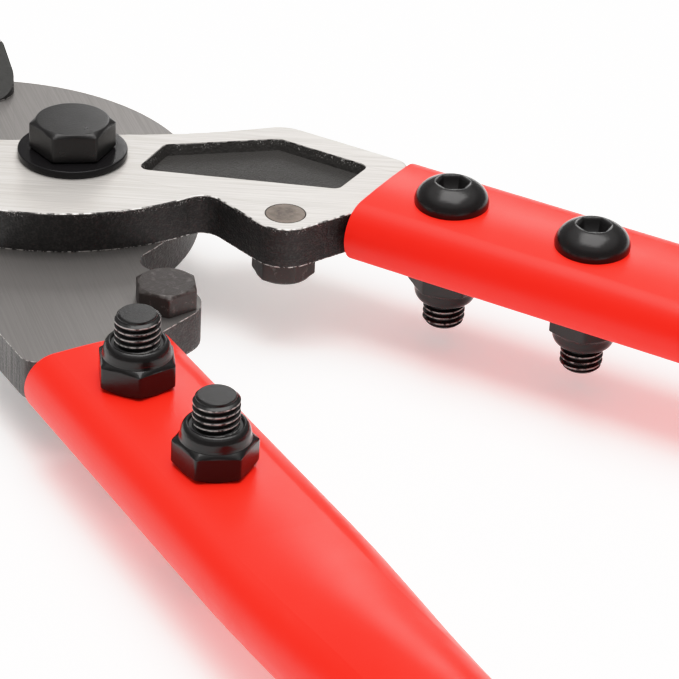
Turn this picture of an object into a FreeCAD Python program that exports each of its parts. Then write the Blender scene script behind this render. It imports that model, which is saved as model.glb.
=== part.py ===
"""Long-handled cutters with two hooked jaws, as a parametric FreeCAD assembly (mm).

Frame: the origin is where the pivot axis meets the surface the tool lies on.
+Y points along the jaws, +X to the right-hand handle and +Z up the pivot axis.
Each half of the tool is drawn once in its own plan: x runs back along the handle,
y runs across towards the other handle, and z = 0 is the face that slides on the
other arm. The lower half lies as drawn; the upper half is the same, turned over.
"""

import FreeCAD, Part

import math
import os

import Sketcher
from FreeCAD import Placement, Rotation, Vector

SIZES = {
    # arms
    "plate_thickness": 10.0,
    "blade_gap": 0.1,
    "back_radius": 55.0,
    "back_centre_along": -16.0,
    "back_centre_across": -19.0,
    "throat_radius": 14.0,
    "throat_along": -32.5,
    "throat_across": -20.5,
    "throat_mouth_angle": 221.0,
    "heel_angle": 45.0,
    "heel_reach": 13.4,
    "bevel_width": 14.0,
    "edge_land": 0.5,
    "plate_edge_round": 0.5,
    "nose_angle": 215.0,
    "tip_round": 6.0,
    "nose_round": 4.0,
    "waist_sag": 1.6,
    "bump_along": 33.5,
    "bump_round": 9.0,
    "shoulder_half": 16.8,
    "shoulder_setback": 3.2,
    "shoulder_round": 4.0,
    "lug_round": 8.0,
    "notch_slope": 19.0,
    "notch_round": 5.0,
    "lug_foot_round": 5.0,
    "tail_side_gap": 1.0,
    "tail_overhang": 15.0,
    "tail_setback": 0.8,
    "recess_depth": 2.6,
    "recess_taper": 22.0,
    "recess_start": 16.5,
    "recess_hub_corner": -2.4,
    "recess_lean": 1.5,
    "recess_margin": 7.2,
    "recess_end_gap": 9.4,
    "recess_lug_gap": 17.7,
    "recess_corner": 2.2,
    # pivot
    "pivot_shank": 12.0,
    "running_fit": 0.05,
    "end_play": 0.1,
    "pivot_flats_ratio": 1.5,
    "pivot_head_height": 7.5,
    "pivot_head_turn": 22.5,
    "pivot_washer_outer": 26.2,
    "pivot_washer_thick": 1.8,
    "pivot_washer_soft": 0.35,
    "pivot_washer_room": 0.4,
    "pivot_head_face": 0.5,
    "pivot_nut_height_ratio": 1.0,
    "pivot_end_show": 1.1,
    # stop bolts
    "stop_along": 57.1,
    "stop_across": -3.5,
    "stop_shank": 9.6,
    "stop_flats": 13.2,
    "stop_head_height": 5.4,
    "stop_head_turn": 38.5,
    # handles
    "handle_half_angle": 15.25,
    "handle_offset": 26.2,
    "mouth_along": 70.5,
    "flat_length": 82.0,
    "neck_length": 75.0,
    "handle_end": 535.0,
    "tube_flat_width": 36.6,
    "tube_round": 29.0,
    "tube_wall": 2.25,
    "tube_seat": 0.25,
    # handle bolts, their lock nuts and the rings in the nuts
    "bolt_front": 88.4,
    "bolt_spacing": 36.4,
    "bolt_shank": 10.0,
    "bolt_hole_fit": 0.25,
    "thread_fit": 0.02,
    "button_width_ratio": 1.75,
    "button_height_ratio": 0.55,
    "button_rim": 0.5,
    "socket_flats_ratio": 0.6,
    "socket_depth_ratio": 0.32,
    "bolt_end_show": 6.6,
    "bolt_chamfer": 1.1,
    "nut_flats_ratio": 1.6,
    "nut_height_ratio": 1.0,
    "nut_collar_height": 3.4,
    "nut_lip": 1.0,
    "nut_collar_root": 0.5,
    "front_nut_turn": 37.5,
    "rear_nut_turn": 6.5,
    "ring_height": 2.4,
    "ring_sink": 0.6,
    # grips
    "grip_length": 140.0,
    "grip_wall": 3.0,
    "grip_fit": 0.1,
    "grip_end_cap": 4.0,
    "grip_guard": 2.4,
    "grip_guard_length": 9.0,
    "grip_mouth_lip": 0.5,
    "grip_groove": 0.9,
    "grip_groove_half": 1.45,
    "grip_groove_pitch": 9.0,
}

GROOVE_COUNT = 12
NECK_SECTIONS = 7

# How far round its side, in degrees, each side arc of the tube reaches before the flat arc.
FLAT_JOIN_ANGLE = 87.2
ROUND_JOIN_ANGLE = 45.0

# Radii of a hexagon's corner chamfer and of a lock nut's collar, as shares of its flats.
HEX_CHAMFER_SHARE = 0.475
HEX_CHAMFER_ANGLE = 30.0
COLLAR_SHARE = 0.45

# A button head's flat crown, and a point on its curved side, as shares of its size.
BUTTON_CROWN_SHARE = 0.56
BUTTON_SIDE_SHARES = (0.86, 0.66)

# How far each key socket is turned round its bolt, in degrees.
SOCKET_TURN = 15.0

# Cuts are drawn this much past the faces they leave by.
CUT_PAST = 1.0

doc = FreeCAD.newDocument("Cutters")
sheet = doc.addObject("Spreadsheet::Sheet", "Sizes")
for row_number, (name, value) in enumerate(SIZES.items(), start=1):
    sheet.set("A%d" % row_number, name)
    sheet.set("B%d" % row_number, "%g" % value)
    sheet.setAlias("B%d" % row_number, name)
doc.recompute()


def size(name):
    """Read one driving size from the sheet."""
    return float(sheet.get(name))


plate = size("plate_thickness")
handle_line = -size("handle_offset")
throat_centre = Vector(size("throat_along"), size("throat_across"), 0)
back_centre = Vector(size("back_centre_along"), size("back_centre_across"), 0)
stop_centre = Vector(size("stop_along"), size("stop_across"), 0)
bolt_rear = size("bolt_front") + size("bolt_spacing")
bolt_places = {"front": size("bolt_front"), "rear": bolt_rear}
nut_turns = {"front": size("front_nut_turn"), "rear": size("rear_nut_turn")}
tube_half_height = plate / 2 + size("tube_seat") + size("tube_wall")
tube_middle = -plate / 2

# A nut and a head grow with the bolt they belong to.
bolt_shank = size("bolt_shank")
nut_flats = size("nut_flats_ratio") * bolt_shank
nut_height = size("nut_height_ratio") * bolt_shank
pivot_shank = size("pivot_shank")
pivot_flats = size("pivot_flats_ratio") * pivot_shank
pivot_nut_height = size("pivot_nut_height_ratio") * pivot_shank
bolt_length = 2 * tube_half_height + nut_height + size("bolt_end_show")

# The lowest point is the end of the pivot bolt, under the lower nut.
half_gap = size("blade_gap") / 2
pivot_drop = (
    half_gap + plate + size("pivot_washer_thick") + pivot_nut_height + size("pivot_end_show")
)
lower_turn = -90.0 - size("handle_half_angle")
lower_place = Placement(Vector(0, 0, pivot_drop - half_gap), Rotation(Vector(0, 0, 1), lower_turn))
turn_over = Placement(Vector(0, 0, 2 * pivot_drop), Rotation(Vector(0, 1, 0), 180))
upper_place = turn_over.multiply(lower_place)
pivot_place = Placement(Vector(0, 0, pivot_drop), Rotation())


def polar(centre, radius, angle):
    """The point at an angle in degrees on a circle in the plan."""
    turn = math.radians(angle)
    return centre + Vector(radius * math.cos(turn), radius * math.sin(turn), 0)


def angle_of(centre, point):
    """The angle in degrees at which a centre sees a point."""
    return math.degrees(math.atan2(point.y - centre.y, point.x - centre.x))


def meet_circle(start, direction, centre, radius):
    """Where a ray from start first leaves a circle, going along direction."""
    along = (centre - start).dot(direction)
    off_square = (centre - start).dot(centre - start) - along * along
    return start + direction * (along + math.sqrt(radius * radius - off_square))


def touch_circle(point, centre, radius, side):
    """Where a line from a point touches a circle, on the side given by +1 or -1."""
    reach = (point - centre).Length
    lean = math.degrees(math.acos(radius / reach))
    return polar(centre, radius, angle_of(centre, point) + side * lean)


# ---------------------------------------------------------------- document helpers


def new_body(label):
    """Start a body whose label names its file."""
    made = doc.addObject("PartDesign::Body", label)
    made.Label = label
    return made


def plane_of(body, role):
    """One of the body's own origin planes or axes."""
    return next(part for part in body.Origin.OriginFeatures if part.Role == role)


def new_sketch(body, name, role="XY_Plane", offset=Vector()):
    """A sketch on one of the body's own planes, moved by an offset in that plane's axes."""
    sketch = body.newObject("Sketcher::SketchObject", name)
    sketch.AttachmentSupport = [(plane_of(body, role), "")]
    sketch.MapMode = "FlatFace"
    sketch.AttachmentOffset = Placement(offset, Rotation())
    return sketch


def draw_path(sketch, path):
    """Draw a closed outline from edges given as (start, end) or (start, middle, end)."""
    for edge in path:
        if len(edge) == 2:
            sketch.addGeometry(Part.LineSegment(*edge), False)
        else:
            sketch.addGeometry(Part.Arc(*edge), False)
    doc.recompute()


def draw_circle(sketch, radius_name, expression, centre=Vector()):
    """A circle whose radius is bound to the sheet."""
    index = sketch.addGeometry(Part.Circle(centre, Vector(0, 0, 1), 1.0), False)
    sketch.addConstraint(Sketcher.Constraint("Radius", index, 1.0))
    place = sketch.ConstraintCount - 1
    sketch.renameConstraint(place, radius_name)
    sketch.setExpression("Constraints." + radius_name, expression)


def draw_polygon(sketch, points):
    """A closed outline of straight edges."""
    ring = list(points) + [points[0]]
    draw_path(sketch, list(zip(ring[:-1], ring[1:])))


def hexagon(flats, turn=0.0):
    """The corners of a hexagon with the given width over its flats."""
    corner_reach = flats / math.sqrt(3)
    return [polar(Vector(), corner_reach, turn + 60 * side) for side in range(6)]


def pad(body, sketch, name, expression, backwards=False):
    """Pad a sketch by a length bound to the sheet."""
    feature = body.newObject("PartDesign::Pad", name)
    feature.Profile = sketch
    feature.Reversed = backwards
    feature.setExpression("Length", expression)
    doc.recompute()
    return feature


def pocket_through(body, sketch, name):
    """Cut a sketch through everything, both ways."""
    before = body.Shape.Volume
    feature = body.newObject("PartDesign::Pocket", name)
    feature.Profile = sketch
    feature.Type = "ThroughAll"
    feature.Midplane = True
    doc.recompute()
    assert body.Shape.Volume < before, name + " cuts nothing"
    return feature


def turn_about(body, kind, sketch, name, cuts=False):
    """Revolve or groove a sketch a full turn about its own upright axis."""
    before = body.Shape.Volume if cuts else 0.0
    feature = body.newObject("PartDesign::" + kind, name)
    feature.Profile = sketch
    feature.ReferenceAxis = (sketch, ["V_Axis"])
    feature.Angle = 360
    doc.recompute()
    if cuts:
        assert body.Shape.Volume < before, name + " cuts nothing"
    return feature


def fillet_upright(body, name, places, expression):
    """Round the upright edges that stand at the given places in the plan."""
    shape = body.Shape
    chosen = []
    for place in places:
        nearest = None
        for number, edge in enumerate(shape.Edges, start=1):
            ends = [vertex.Point for vertex in edge.Vertexes]
            if len(ends) != 2 or math.hypot(ends[0].x - ends[1].x, ends[0].y - ends[1].y) > 1e-6:
                continue
            off = math.hypot(ends[0].x - place.x, ends[0].y - place.y)
            if nearest is None or off < nearest[0]:
                nearest = (off, "Edge%d" % number)
        chosen.append(nearest[1])
    base = body.Tip
    feature = body.newObject("PartDesign::Fillet", name)
    feature.Base = (base, chosen)
    feature.setExpression("Radius", expression)
    doc.recompute()
    return feature


def soften_outer_rim(body):
    """Round the plate's rim on the face away from the other arm."""
    shape = body.Shape
    chosen = []
    for number, edge in enumerate(shape.Edges, start=1):
        if edge.BoundBox.ZMax < -plate + 1e-4:
            chosen.append("Edge%d" % number)
    base = body.Tip
    feature = body.newObject("PartDesign::Fillet", "RimRound")
    feature.Base = (base, chosen)
    feature.setExpression("Radius", "Sizes.plate_edge_round")
    doc.recompute()


def hex_head(body, name, flats, height, turn, height_expression, up=True):
    """A hexagon head standing on z = 0 with its far corners chamfered."""
    sketch = new_sketch(body, name + "Plan")
    draw_polygon(sketch, hexagon(flats, turn))
    pad(body, sketch, name + "Hex", height_expression, backwards=not up)
    way = 1 if up else -1
    chamfer_start = HEX_CHAMFER_SHARE * flats
    drop = (flats - chamfer_start) * math.tan(math.radians(HEX_CHAMFER_ANGLE))
    profile = new_sketch(body, name + "CornerCut", "XZ_Plane")
    draw_polygon(profile, [
        Vector(chamfer_start, way * height, 0),
        Vector(flats, way * height, 0),
        Vector(flats, way * (height - drop), 0),
    ])
    turn_about(body, "Groove", profile, name + "Corners", cuts=True)


# ---------------------------------------------------------------- the two arms


def arm_outline():
    """The plan of an arm: tail, stop lug, notch, round back, hooked jaw and waist.

    Returns:
        The closed path, and the sharp corners that are rounded afterwards, by name.
    """
    # The tail is as wide as the flat inside of the tube, less a gap at each side.
    tail_half = size("tube_flat_width") / 2 - tube_half_height - size("tail_side_gap")
    tail_end = bolt_rear + size("tail_overhang")
    tail_inner = handle_line + tail_half
    tail_outer = handle_line - tail_half
    shoulder_outer = handle_line - size("shoulder_half")
    tail_start = size("mouth_along") + size("tail_setback")
    foot = Vector(tail_start, tail_inner, 0)
    lug_radius = size("lug_round")
    back_radius = size("back_radius")
    lug_foot = touch_circle(foot, stop_centre, lug_radius, 1)
    slope = math.radians(size("notch_slope"))
    lug_top = polar(stop_centre, lug_radius, 90 + size("notch_slope"))
    lug_middle = polar(
        stop_centre, lug_radius, (angle_of(stop_centre, lug_foot) + angle_of(stop_centre, lug_top)) / 2
    )
    down_slope = Vector(-math.cos(slope), -math.sin(slope), 0)
    along = (back_centre - lug_top).dot(down_slope)
    off_square = (back_centre - lug_top).dot(back_centre - lug_top) - along * along
    notch = lug_top + down_slope * (along - math.sqrt(back_radius ** 2 - off_square))

    mouth = polar(throat_centre, size("throat_radius"), size("throat_mouth_angle"))
    nose_way = polar(Vector(), 1.0, size("nose_angle"))
    ease = polar(Vector(), 1.0, size("throat_mouth_angle") + 90)
    tip = mouth + ease * size("tip_round")
    nose = meet_circle(tip, nose_way, back_centre, back_radius)
    back_middle = polar(back_centre, back_radius, 110)
    heel_start = polar(throat_centre, size("throat_radius"), size("heel_angle"))
    throat_middle = polar(
        throat_centre, size("throat_radius"), (size("heel_angle") + size("throat_mouth_angle")) / 2
    )
    heel = Vector(0, -size("heel_reach"), 0)
    bump = Vector(size("bump_along"), shoulder_outer, 0)
    inwards = Vector(heel.y - bump.y, bump.x - heel.x, 0).normalize()
    waist = (heel + bump) * 0.5 + inwards * size("waist_sag")
    shoulder = Vector(size("mouth_along") - size("shoulder_setback"), shoulder_outer, 0)
    tail_step = Vector(tail_start, tail_outer, 0)
    path = [
        (Vector(tail_end, tail_inner, 0), foot),
        (foot, lug_foot),
        (lug_foot, lug_middle, lug_top),
        (lug_top, notch),
        (notch, back_middle, nose),
        (nose, tip),
        (tip, mouth),
        (mouth, throat_middle, heel_start),
        (heel_start, heel),
        (heel, waist, bump),
        (bump, shoulder),
        (shoulder, tail_step),
        (tail_step, Vector(tail_end, tail_outer, 0)),
        (Vector(tail_end, tail_outer, 0), Vector(tail_end, tail_inner, 0)),
    ]
    corners = {
        "notch": notch, "tip": tip, "nose": nose, "bump": bump,
        "shoulder": shoulder, "foot": foot,
    }
    return path, corners


def rounded(points, radius):
    """A closed outline of straight edges with every corner rounded."""
    count = len(points)
    arcs = []
    for number, corner in enumerate(points):
        to_last = (points[number - 1] - corner).normalize()
        to_next = (points[(number + 1) % count] - corner).normalize()
        half_angle = to_last.getAngle(to_next) / 2
        middle_way = (to_last + to_next).normalize()
        centre = corner + middle_way * (radius / math.sin(half_angle))
        reach = radius / math.tan(half_angle)
        arcs.append((corner + to_last * reach, centre - middle_way * radius, corner + to_next * reach))
    path = []
    for number, arc in enumerate(arcs):
        path.append(arc)
        path.append((arc[2], arcs[(number + 1) % count][0]))
    return path


def recess_outline():
    """The plan of the long dished recess, a margin inside the waist and the shoulder."""
    margin = size("recess_margin")
    start = size("recess_start")
    outer = handle_line - size("shoulder_half") + margin
    far = size("mouth_along") - size("recess_end_gap")
    rise = (handle_line - size("shoulder_half") + size("heel_reach")) / size("bump_along")
    line_top = -size("heel_reach") + margin * math.sqrt(1 + rise * rise)
    lean = size("recess_lean")
    return [
        Vector(start, size("recess_hub_corner"), 0),
        Vector(start - lean, line_top + rise * (start - lean), 0),
        Vector((outer - line_top) / rise, outer, 0),
        Vector(far, outer, 0),
        Vector(far, stop_centre.y - size("recess_lug_gap"), 0),
    ]


def build_arm(label, place):
    """One forged arm: jaw, hub and handle tail in a single plate."""
    body = new_body(label)
    outline, corners = arm_outline()
    plan = new_sketch(body, "ArmPlan")
    draw_path(plan, outline)
    pad(body, plan, "ArmPlate", "Sizes.plate_thickness", backwards=True)
    rounds = [
        ("notch", "notch_round"), ("tip", "tip_round"), ("nose", "nose_round"),
        ("bump", "bump_round"), ("shoulder", "shoulder_round"), ("foot", "lug_foot_round"),
    ]
    for corner, radius in rounds:
        fillet_upright(body, corner.capitalize() + "Round", [corners[corner]], "Sizes." + radius)
    soften_outer_rim(body)

    # The cutting bevel is a cone round the middle of the throat.
    inner = size("throat_radius")
    land = -size("edge_land")
    below = -plate - CUT_PAST
    bevel = new_sketch(
        body, "BevelProfile", "XZ_Plane", Vector(throat_centre.x, 0, -throat_centre.y)
    )
    draw_polygon(bevel, [
        Vector(0, land, 0),
        Vector(inner, land, 0),
        Vector(inner + size("bevel_width"), -plate, 0),
        Vector(inner + size("bevel_width"), below, 0),
        Vector(0, below, 0),
    ])
    turn_about(body, "Groove", bevel, "CuttingBevel", cuts=True)

    recess = new_sketch(body, "RecessPlan", "XY_Plane", Vector(0, 0, -plate))
    draw_path(recess, rounded(recess_outline(), size("recess_corner")))
    before = body.Shape.Volume
    dish = body.newObject("PartDesign::Pocket", "Recess")
    dish.Profile = recess
    dish.Reversed = True
    dish.setExpression("Length", "Sizes.recess_depth")
    dish.setExpression("TaperAngle", "-Sizes.recess_taper")
    doc.recompute()
    assert body.Shape.Volume < before, "the recess cuts nothing"

    holes = new_sketch(body, "HolePlan")
    draw_circle(holes, "pivot", "Sizes.pivot_shank / 2 + Sizes.running_fit")
    draw_circle(holes, "stop", "Sizes.stop_shank / 2 + Sizes.running_fit", stop_centre)
    for end, along in bolt_places.items():
        centre = Vector(along, handle_line, 0)
        draw_circle(holes, end, "Sizes.bolt_shank / 2 + Sizes.bolt_hole_fit", centre)
    doc.recompute()
    pocket_through(body, holes, "BoltHoles")
    body.Placement = place
    return body


def build_stop_bolt(label, place):
    """A hexagon bolt through the lug: head on the sliding face, end ground flush outside."""
    body = new_body(label)
    hex_head(
        body, "Head", size("stop_flats"), size("stop_head_height"),
        size("stop_head_turn"), "Sizes.stop_head_height",
    )
    shank = new_sketch(body, "ShankPlan")
    draw_circle(shank, "shank", "Sizes.stop_shank / 2")
    pad(body, shank, "Shank", "Sizes.plate_thickness", backwards=True)
    body.Placement = place.multiply(Placement(stop_centre, Rotation()))
    return body


# ---------------------------------------------------------------- the handle tubes


def oval(half_width, half_height, join_angle):
    """An oval of two side arcs and two flat arcs, all meeting in line.

    Args:
        half_width: from the middle to the side.
        half_height: from the middle to the top.
        join_angle: how far round its side each side arc reaches, in degrees.

    Returns:
        Four arcs as (start, middle, end), in the plane of the section.
    """
    rise = math.sin(math.radians(join_angle))
    run = math.cos(math.radians(join_angle))
    between_centres = (half_width - half_height) / (rise + run - 1)
    side_round = half_width - between_centres * run
    side_centre = half_width - side_round
    joins = []
    for across, up in ((1, -1), (1, 1), (-1, 1), (-1, -1)):
        joins.append(Vector(across * (side_centre + side_round * run), up * side_round * rise, 0))
    middles = [
        Vector(half_width, 0, 0), Vector(0, half_height, 0),
        Vector(-half_width, 0, 0), Vector(0, -half_height, 0),
    ]
    return [(joins[side], middles[side], joins[(side + 1) % 4]) for side in range(4)]


def section_at(share, inset):
    """The tube's section part of the way along its neck.

    Args:
        share: 0 where the tube is pressed flat, 1 where it is round.
        inset: how far inside the outer skin the section lies.
    """
    ease = share * share * (3 - 2 * share)
    round_radius = size("tube_round") / 2
    half_width = size("tube_flat_width") / 2 * (1 - ease) + round_radius * ease
    half_height = tube_half_height * (1 - ease) + round_radius * ease
    join_angle = FLAT_JOIN_ANGLE * (1 - ease) + ROUND_JOIN_ANGLE * ease
    return oval(half_width - inset, half_height - inset, join_angle)


def tube_skin(body, name, inset, cuts):
    """Loft one skin of the tube along its flat, its neck and its round length."""
    neck_start = size("mouth_along") + size("flat_length")
    overrun = CUT_PAST if cuts else 0.0
    stations = [(size("mouth_along") - overrun, 0.0)]
    for step in range(NECK_SECTIONS):
        share = step / (NECK_SECTIONS - 1)
        stations.append((neck_start + share * size("neck_length"), share))
    stations.append((size("handle_end") + overrun, 1.0))
    sketches = []
    for number, (along, share) in enumerate(stations):
        sketch = new_sketch(
            body, "%sSection%d" % (name, number), "YZ_Plane", Vector(handle_line, tube_middle, along)
        )
        draw_path(sketch, section_at(share, inset))
        sketches.append(sketch)
    groups = [sketches[:2], sketches[1:-1], sketches[-2:]]
    kind = "SubtractiveLoft" if cuts else "AdditiveLoft"
    for number, group in enumerate(groups):
        before = body.Shape.Volume if cuts else 0.0
        loft = body.newObject("PartDesign::" + kind, "%sLoft%d" % (name, number))
        loft.Profile = group[0]
        loft.Sections = group[1:]
        loft.Ruled = len(group) == 2
        doc.recompute()
        if cuts:
            assert body.Shape.Volume < before, name + " cuts nothing"


def build_tube(label, place):
    """A round steel tube, pressed flat over the arm's tail and drilled for two bolts."""
    body = new_body(label)
    tube_skin(body, "Outer", 0.0, cuts=False)
    tube_skin(body, "Inner", size("tube_wall"), cuts=True)
    holes = new_sketch(body, "HolePlan")
    for end, along in bolt_places.items():
        centre = Vector(along, handle_line, 0)
        draw_circle(holes, end, "Sizes.bolt_shank / 2 + Sizes.bolt_hole_fit", centre)
    doc.recompute()
    pocket_through(body, holes, "BoltHoles")
    body.Placement = place
    return body


def build_grip(label, place):
    """A moulded sleeve with a closed end, a guard at each end and finger grooves between."""
    body = new_body(label)
    inner = size("tube_round") / 2 + size("grip_fit")
    outer = size("tube_round") / 2 + size("grip_wall")
    guard = outer + size("grip_guard")
    guard_length = size("grip_guard_length")
    last = size("handle_end") + size("grip_end_cap")
    first = last - size("grip_length")
    inside_end = size("handle_end") + size("grip_fit")
    lead = guard_length / 2
    profile = new_sketch(body, "GripProfile", "XY_Plane")
    turned = [
        Vector(inner, first, 0),
        Vector(outer + size("grip_mouth_lip"), first, 0),
        Vector(guard, first + lead, 0),
        Vector(guard, first + guard_length, 0),
        Vector(outer, first + guard_length + lead, 0),
        Vector(outer, last - guard_length - lead, 0),
        Vector(guard, last - guard_length, 0),
        Vector(guard, last - lead / 2, 0),
        Vector(guard - lead / 2, last, 0),
        Vector(0, last, 0),
        Vector(0, inside_end, 0),
        Vector(inner, inside_end, 0),
    ]
    draw_polygon(profile, turned)
    turn_about(body, "Revolution", profile, "GripSleeve")
    groove_first = first + guard_length + lead + size("grip_groove_pitch") / 2
    groove = new_sketch(body, "GrooveProfile", "XY_Plane")
    groove_top = outer + CUT_PAST / 2
    groove_start = Vector(groove_top, groove_first - size("grip_groove_half"), 0)
    groove_bottom = Vector(outer - size("grip_groove"), groove_first, 0)
    groove_end = Vector(groove_top, groove_first + size("grip_groove_half"), 0)
    draw_path(groove, [(groove_start, groove_bottom, groove_end), (groove_end, groove_start)])
    ring = turn_about(body, "Groove", groove, "FingerGroove", cuts=True)
    pattern = body.newObject("PartDesign::LinearPattern", "FingerGrooves")
    pattern.Originals = [ring]
    pattern.Direction = (plane_of(body, "Y_Axis"), [""])
    pattern.Occurrences = GROOVE_COUNT
    span = "%d * Sizes.grip_groove_pitch" % (GROOVE_COUNT - 1)
    pattern.setExpression("Length", span)
    body.Tip = pattern
    doc.recompute()
    lie_back = Placement(Vector(0, handle_line, tube_middle), Rotation(Vector(0, 0, 1), -90))
    body.Placement = place.multiply(lie_back)
    return body


# ---------------------------------------------------------------- fasteners


def build_handle_bolt(label, place, along):
    """A button-head bolt with a hexagon socket, its head on the outer side of the tube."""
    body = new_body(label)
    shank = bolt_shank / 2
    head = size("button_width_ratio") * bolt_shank / 2
    height = size("button_height_ratio") * bolt_shank
    chamfer = size("bolt_chamfer")
    crown = BUTTON_CROWN_SHARE * head
    rim = size("button_rim")
    side_out, side_up = BUTTON_SIDE_SHARES
    side = Vector(side_out * head, -side_up * height, 0)
    profile = new_sketch(body, "BoltProfile", "XZ_Plane")
    draw_path(profile, [
        (Vector(0, bolt_length, 0), Vector(shank - chamfer, bolt_length, 0)),
        (Vector(shank - chamfer, bolt_length, 0), Vector(shank, bolt_length - chamfer, 0)),
        (Vector(shank, bolt_length - chamfer, 0), Vector(shank, 0, 0)),
        (Vector(shank, 0, 0), Vector(head, 0, 0)),
        (Vector(head, 0, 0), Vector(head, -rim, 0)),
        (Vector(head, -rim, 0), side, Vector(crown, -height, 0)),
        (Vector(crown, -height, 0), Vector(0, -height, 0)),
        (Vector(0, -height, 0), Vector(0, bolt_length, 0)),
    ])
    turn_about(body, "Revolution", profile, "BoltBlank")
    socket = new_sketch(body, "SocketPlan", "XY_Plane", Vector(0, 0, -height))
    draw_polygon(socket, hexagon(size("socket_flats_ratio") * bolt_shank, SOCKET_TURN))
    before = body.Shape.Volume
    key_hole = body.newObject("PartDesign::Pocket", "KeySocket")
    key_hole.Profile = socket
    key_hole.Reversed = True
    key_hole.setExpression("Length", "Sizes.socket_depth_ratio * Sizes.bolt_shank")
    doc.recompute()
    assert body.Shape.Volume < before, "the socket cuts nothing"
    seat = Vector(along, handle_line, tube_middle - tube_half_height)
    body.Placement = place.multiply(Placement(seat, Rotation()))
    return body


def build_lock_nut(label, place, shank, flats, height, turn):
    """A hexagon nut with a round collar that holds a plastic ring.

    Args:
        shank: diameter of the bolt it is on.
        turn: how far the hexagon is turned, in degrees.
    """
    body = new_body(label)
    hex_height = height - size("nut_collar_height")
    plan = new_sketch(body, "NutPlan")
    draw_polygon(plan, hexagon(flats, turn))
    hex_pad = body.newObject("PartDesign::Pad", "NutHex")
    hex_pad.Profile = plan
    hex_pad.Length = hex_height
    doc.recompute()
    slant = math.tan(math.radians(HEX_CHAMFER_ANGLE))
    cut_start = HEX_CHAMFER_SHARE * flats
    for name, level, way in (("Top", hex_height, -1), ("Base", 0.0, 1)):
        corner_cut = new_sketch(body, name + "CornerCut", "XZ_Plane")
        draw_polygon(corner_cut, [
            Vector(cut_start, level, 0),
            Vector(flats, level, 0),
            Vector(flats, level + way * (flats - cut_start) * slant, 0),
        ])
        turn_about(body, "Groove", corner_cut, name + "Corners", cuts=True)
    bore = shank / 2 + size("thread_fit")
    collar = COLLAR_SHARE * flats
    lip = size("nut_lip")
    root = hex_height - size("nut_collar_root")
    ring_base = height - size("ring_height")
    bend_start = Vector(collar, height - 1.5 * lip, 0)
    bend_middle = polar(Vector(collar - 1.5 * lip, height - 1.5 * lip, 0), 1.5 * lip, 45)
    bend_end = Vector(collar - 1.5 * lip, height, 0)
    collar_profile = new_sketch(body, "CollarProfile", "XZ_Plane")
    draw_path(collar_profile, [
        (Vector(bore, root, 0), Vector(collar, root, 0)),
        (Vector(collar, root, 0), bend_start),
        (bend_start, bend_middle, bend_end),
        (bend_end, Vector(bore, height, 0)),
        (Vector(bore, height, 0), Vector(bore, root, 0)),
    ])
    turn_about(body, "Revolution", collar_profile, "Collar")
    bore_plan = new_sketch(body, "BorePlan")
    draw_circle(bore_plan, "bore", "%g + Sizes.thread_fit" % (shank / 2))
    doc.recompute()
    pocket_through(body, bore_plan, "Bore")
    seat_profile = new_sketch(body, "RingSeatProfile", "XZ_Plane")
    ring_outer = collar - 1.5 * lip
    draw_polygon(seat_profile, [
        Vector(0, ring_base, 0), Vector(ring_outer, ring_base, 0),
        Vector(ring_outer, height + CUT_PAST, 0), Vector(0, height + CUT_PAST, 0),
    ])
    turn_about(body, "Groove", seat_profile, "RingSeat", cuts=True)
    body.Placement = place
    return body


def build_nut_ring(label, place, shank, flats, height):
    """The plastic ring inside a lock nut's collar."""
    body = new_body(label)
    lip = size("nut_lip")
    outer = COLLAR_SHARE * flats - 1.5 * lip - size("thread_fit")
    inner = shank / 2 + size("thread_fit")
    base = height - size("ring_height") + size("thread_fit")
    top = height - size("ring_sink")
    profile = new_sketch(body, "RingProfile", "XZ_Plane")
    draw_polygon(profile, [
        Vector(inner, base, 0), Vector(outer, base, 0),
        Vector(outer, top, 0), Vector(inner, top, 0),
    ])
    turn_about(body, "Revolution", profile, "Ring")
    body.Placement = place
    return body


def build_pivot_bolt():
    """The main hexagon bolt, head up, that both arms turn on."""
    body = new_body("pivot_bolt")
    under_head = half_gap + plate + size("end_play") + size("pivot_washer_thick")
    height = size("pivot_head_height")
    shank = pivot_shank / 2
    washer_face = HEX_CHAMFER_SHARE * pivot_flats
    turn = size("pivot_head_turn")
    hex_head(body, "Head", pivot_flats, height, turn, "Sizes.pivot_head_height")
    face = size("pivot_head_face")
    undercut = new_sketch(body, "WasherFaceCut", "XZ_Plane")
    draw_polygon(undercut, [
        Vector(washer_face, 0, 0), Vector(pivot_flats, 0, 0),
        Vector(pivot_flats, face, 0), Vector(washer_face, face, 0),
    ])
    turn_about(body, "Groove", undercut, "WasherFace", cuts=True)
    chamfer = size("bolt_chamfer")
    end = -(under_head + pivot_drop)
    profile = new_sketch(body, "ShankProfile", "XZ_Plane")
    draw_polygon(profile, [
        Vector(0, height / 2, 0), Vector(shank, height / 2, 0), Vector(shank, end + chamfer, 0),
        Vector(shank - chamfer, end, 0), Vector(0, end, 0),
    ])
    turn_about(body, "Revolution", profile, "Shank")
    body.Placement = pivot_place.multiply(Placement(Vector(0, 0, under_head), Rotation()))
    return body


def build_pivot_washer(label, base):
    """A broad flat washer with softened rims."""
    body = new_body(label)
    inner = pivot_shank / 2 + size("pivot_washer_room")
    outer = size("pivot_washer_outer") / 2
    thick = size("pivot_washer_thick")
    soft = size("pivot_washer_soft")
    profile = new_sketch(body, "WasherProfile", "XZ_Plane")
    draw_polygon(profile, [
        Vector(inner, 0, 0), Vector(outer - soft, 0, 0), Vector(outer, soft, 0),
        Vector(outer, thick - soft, 0), Vector(outer - soft, thick, 0), Vector(inner, thick, 0),
    ])
    turn_about(body, "Revolution", profile, "Washer")
    body.Placement = pivot_place.multiply(Placement(Vector(0, 0, base), Rotation()))
    return body


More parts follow.
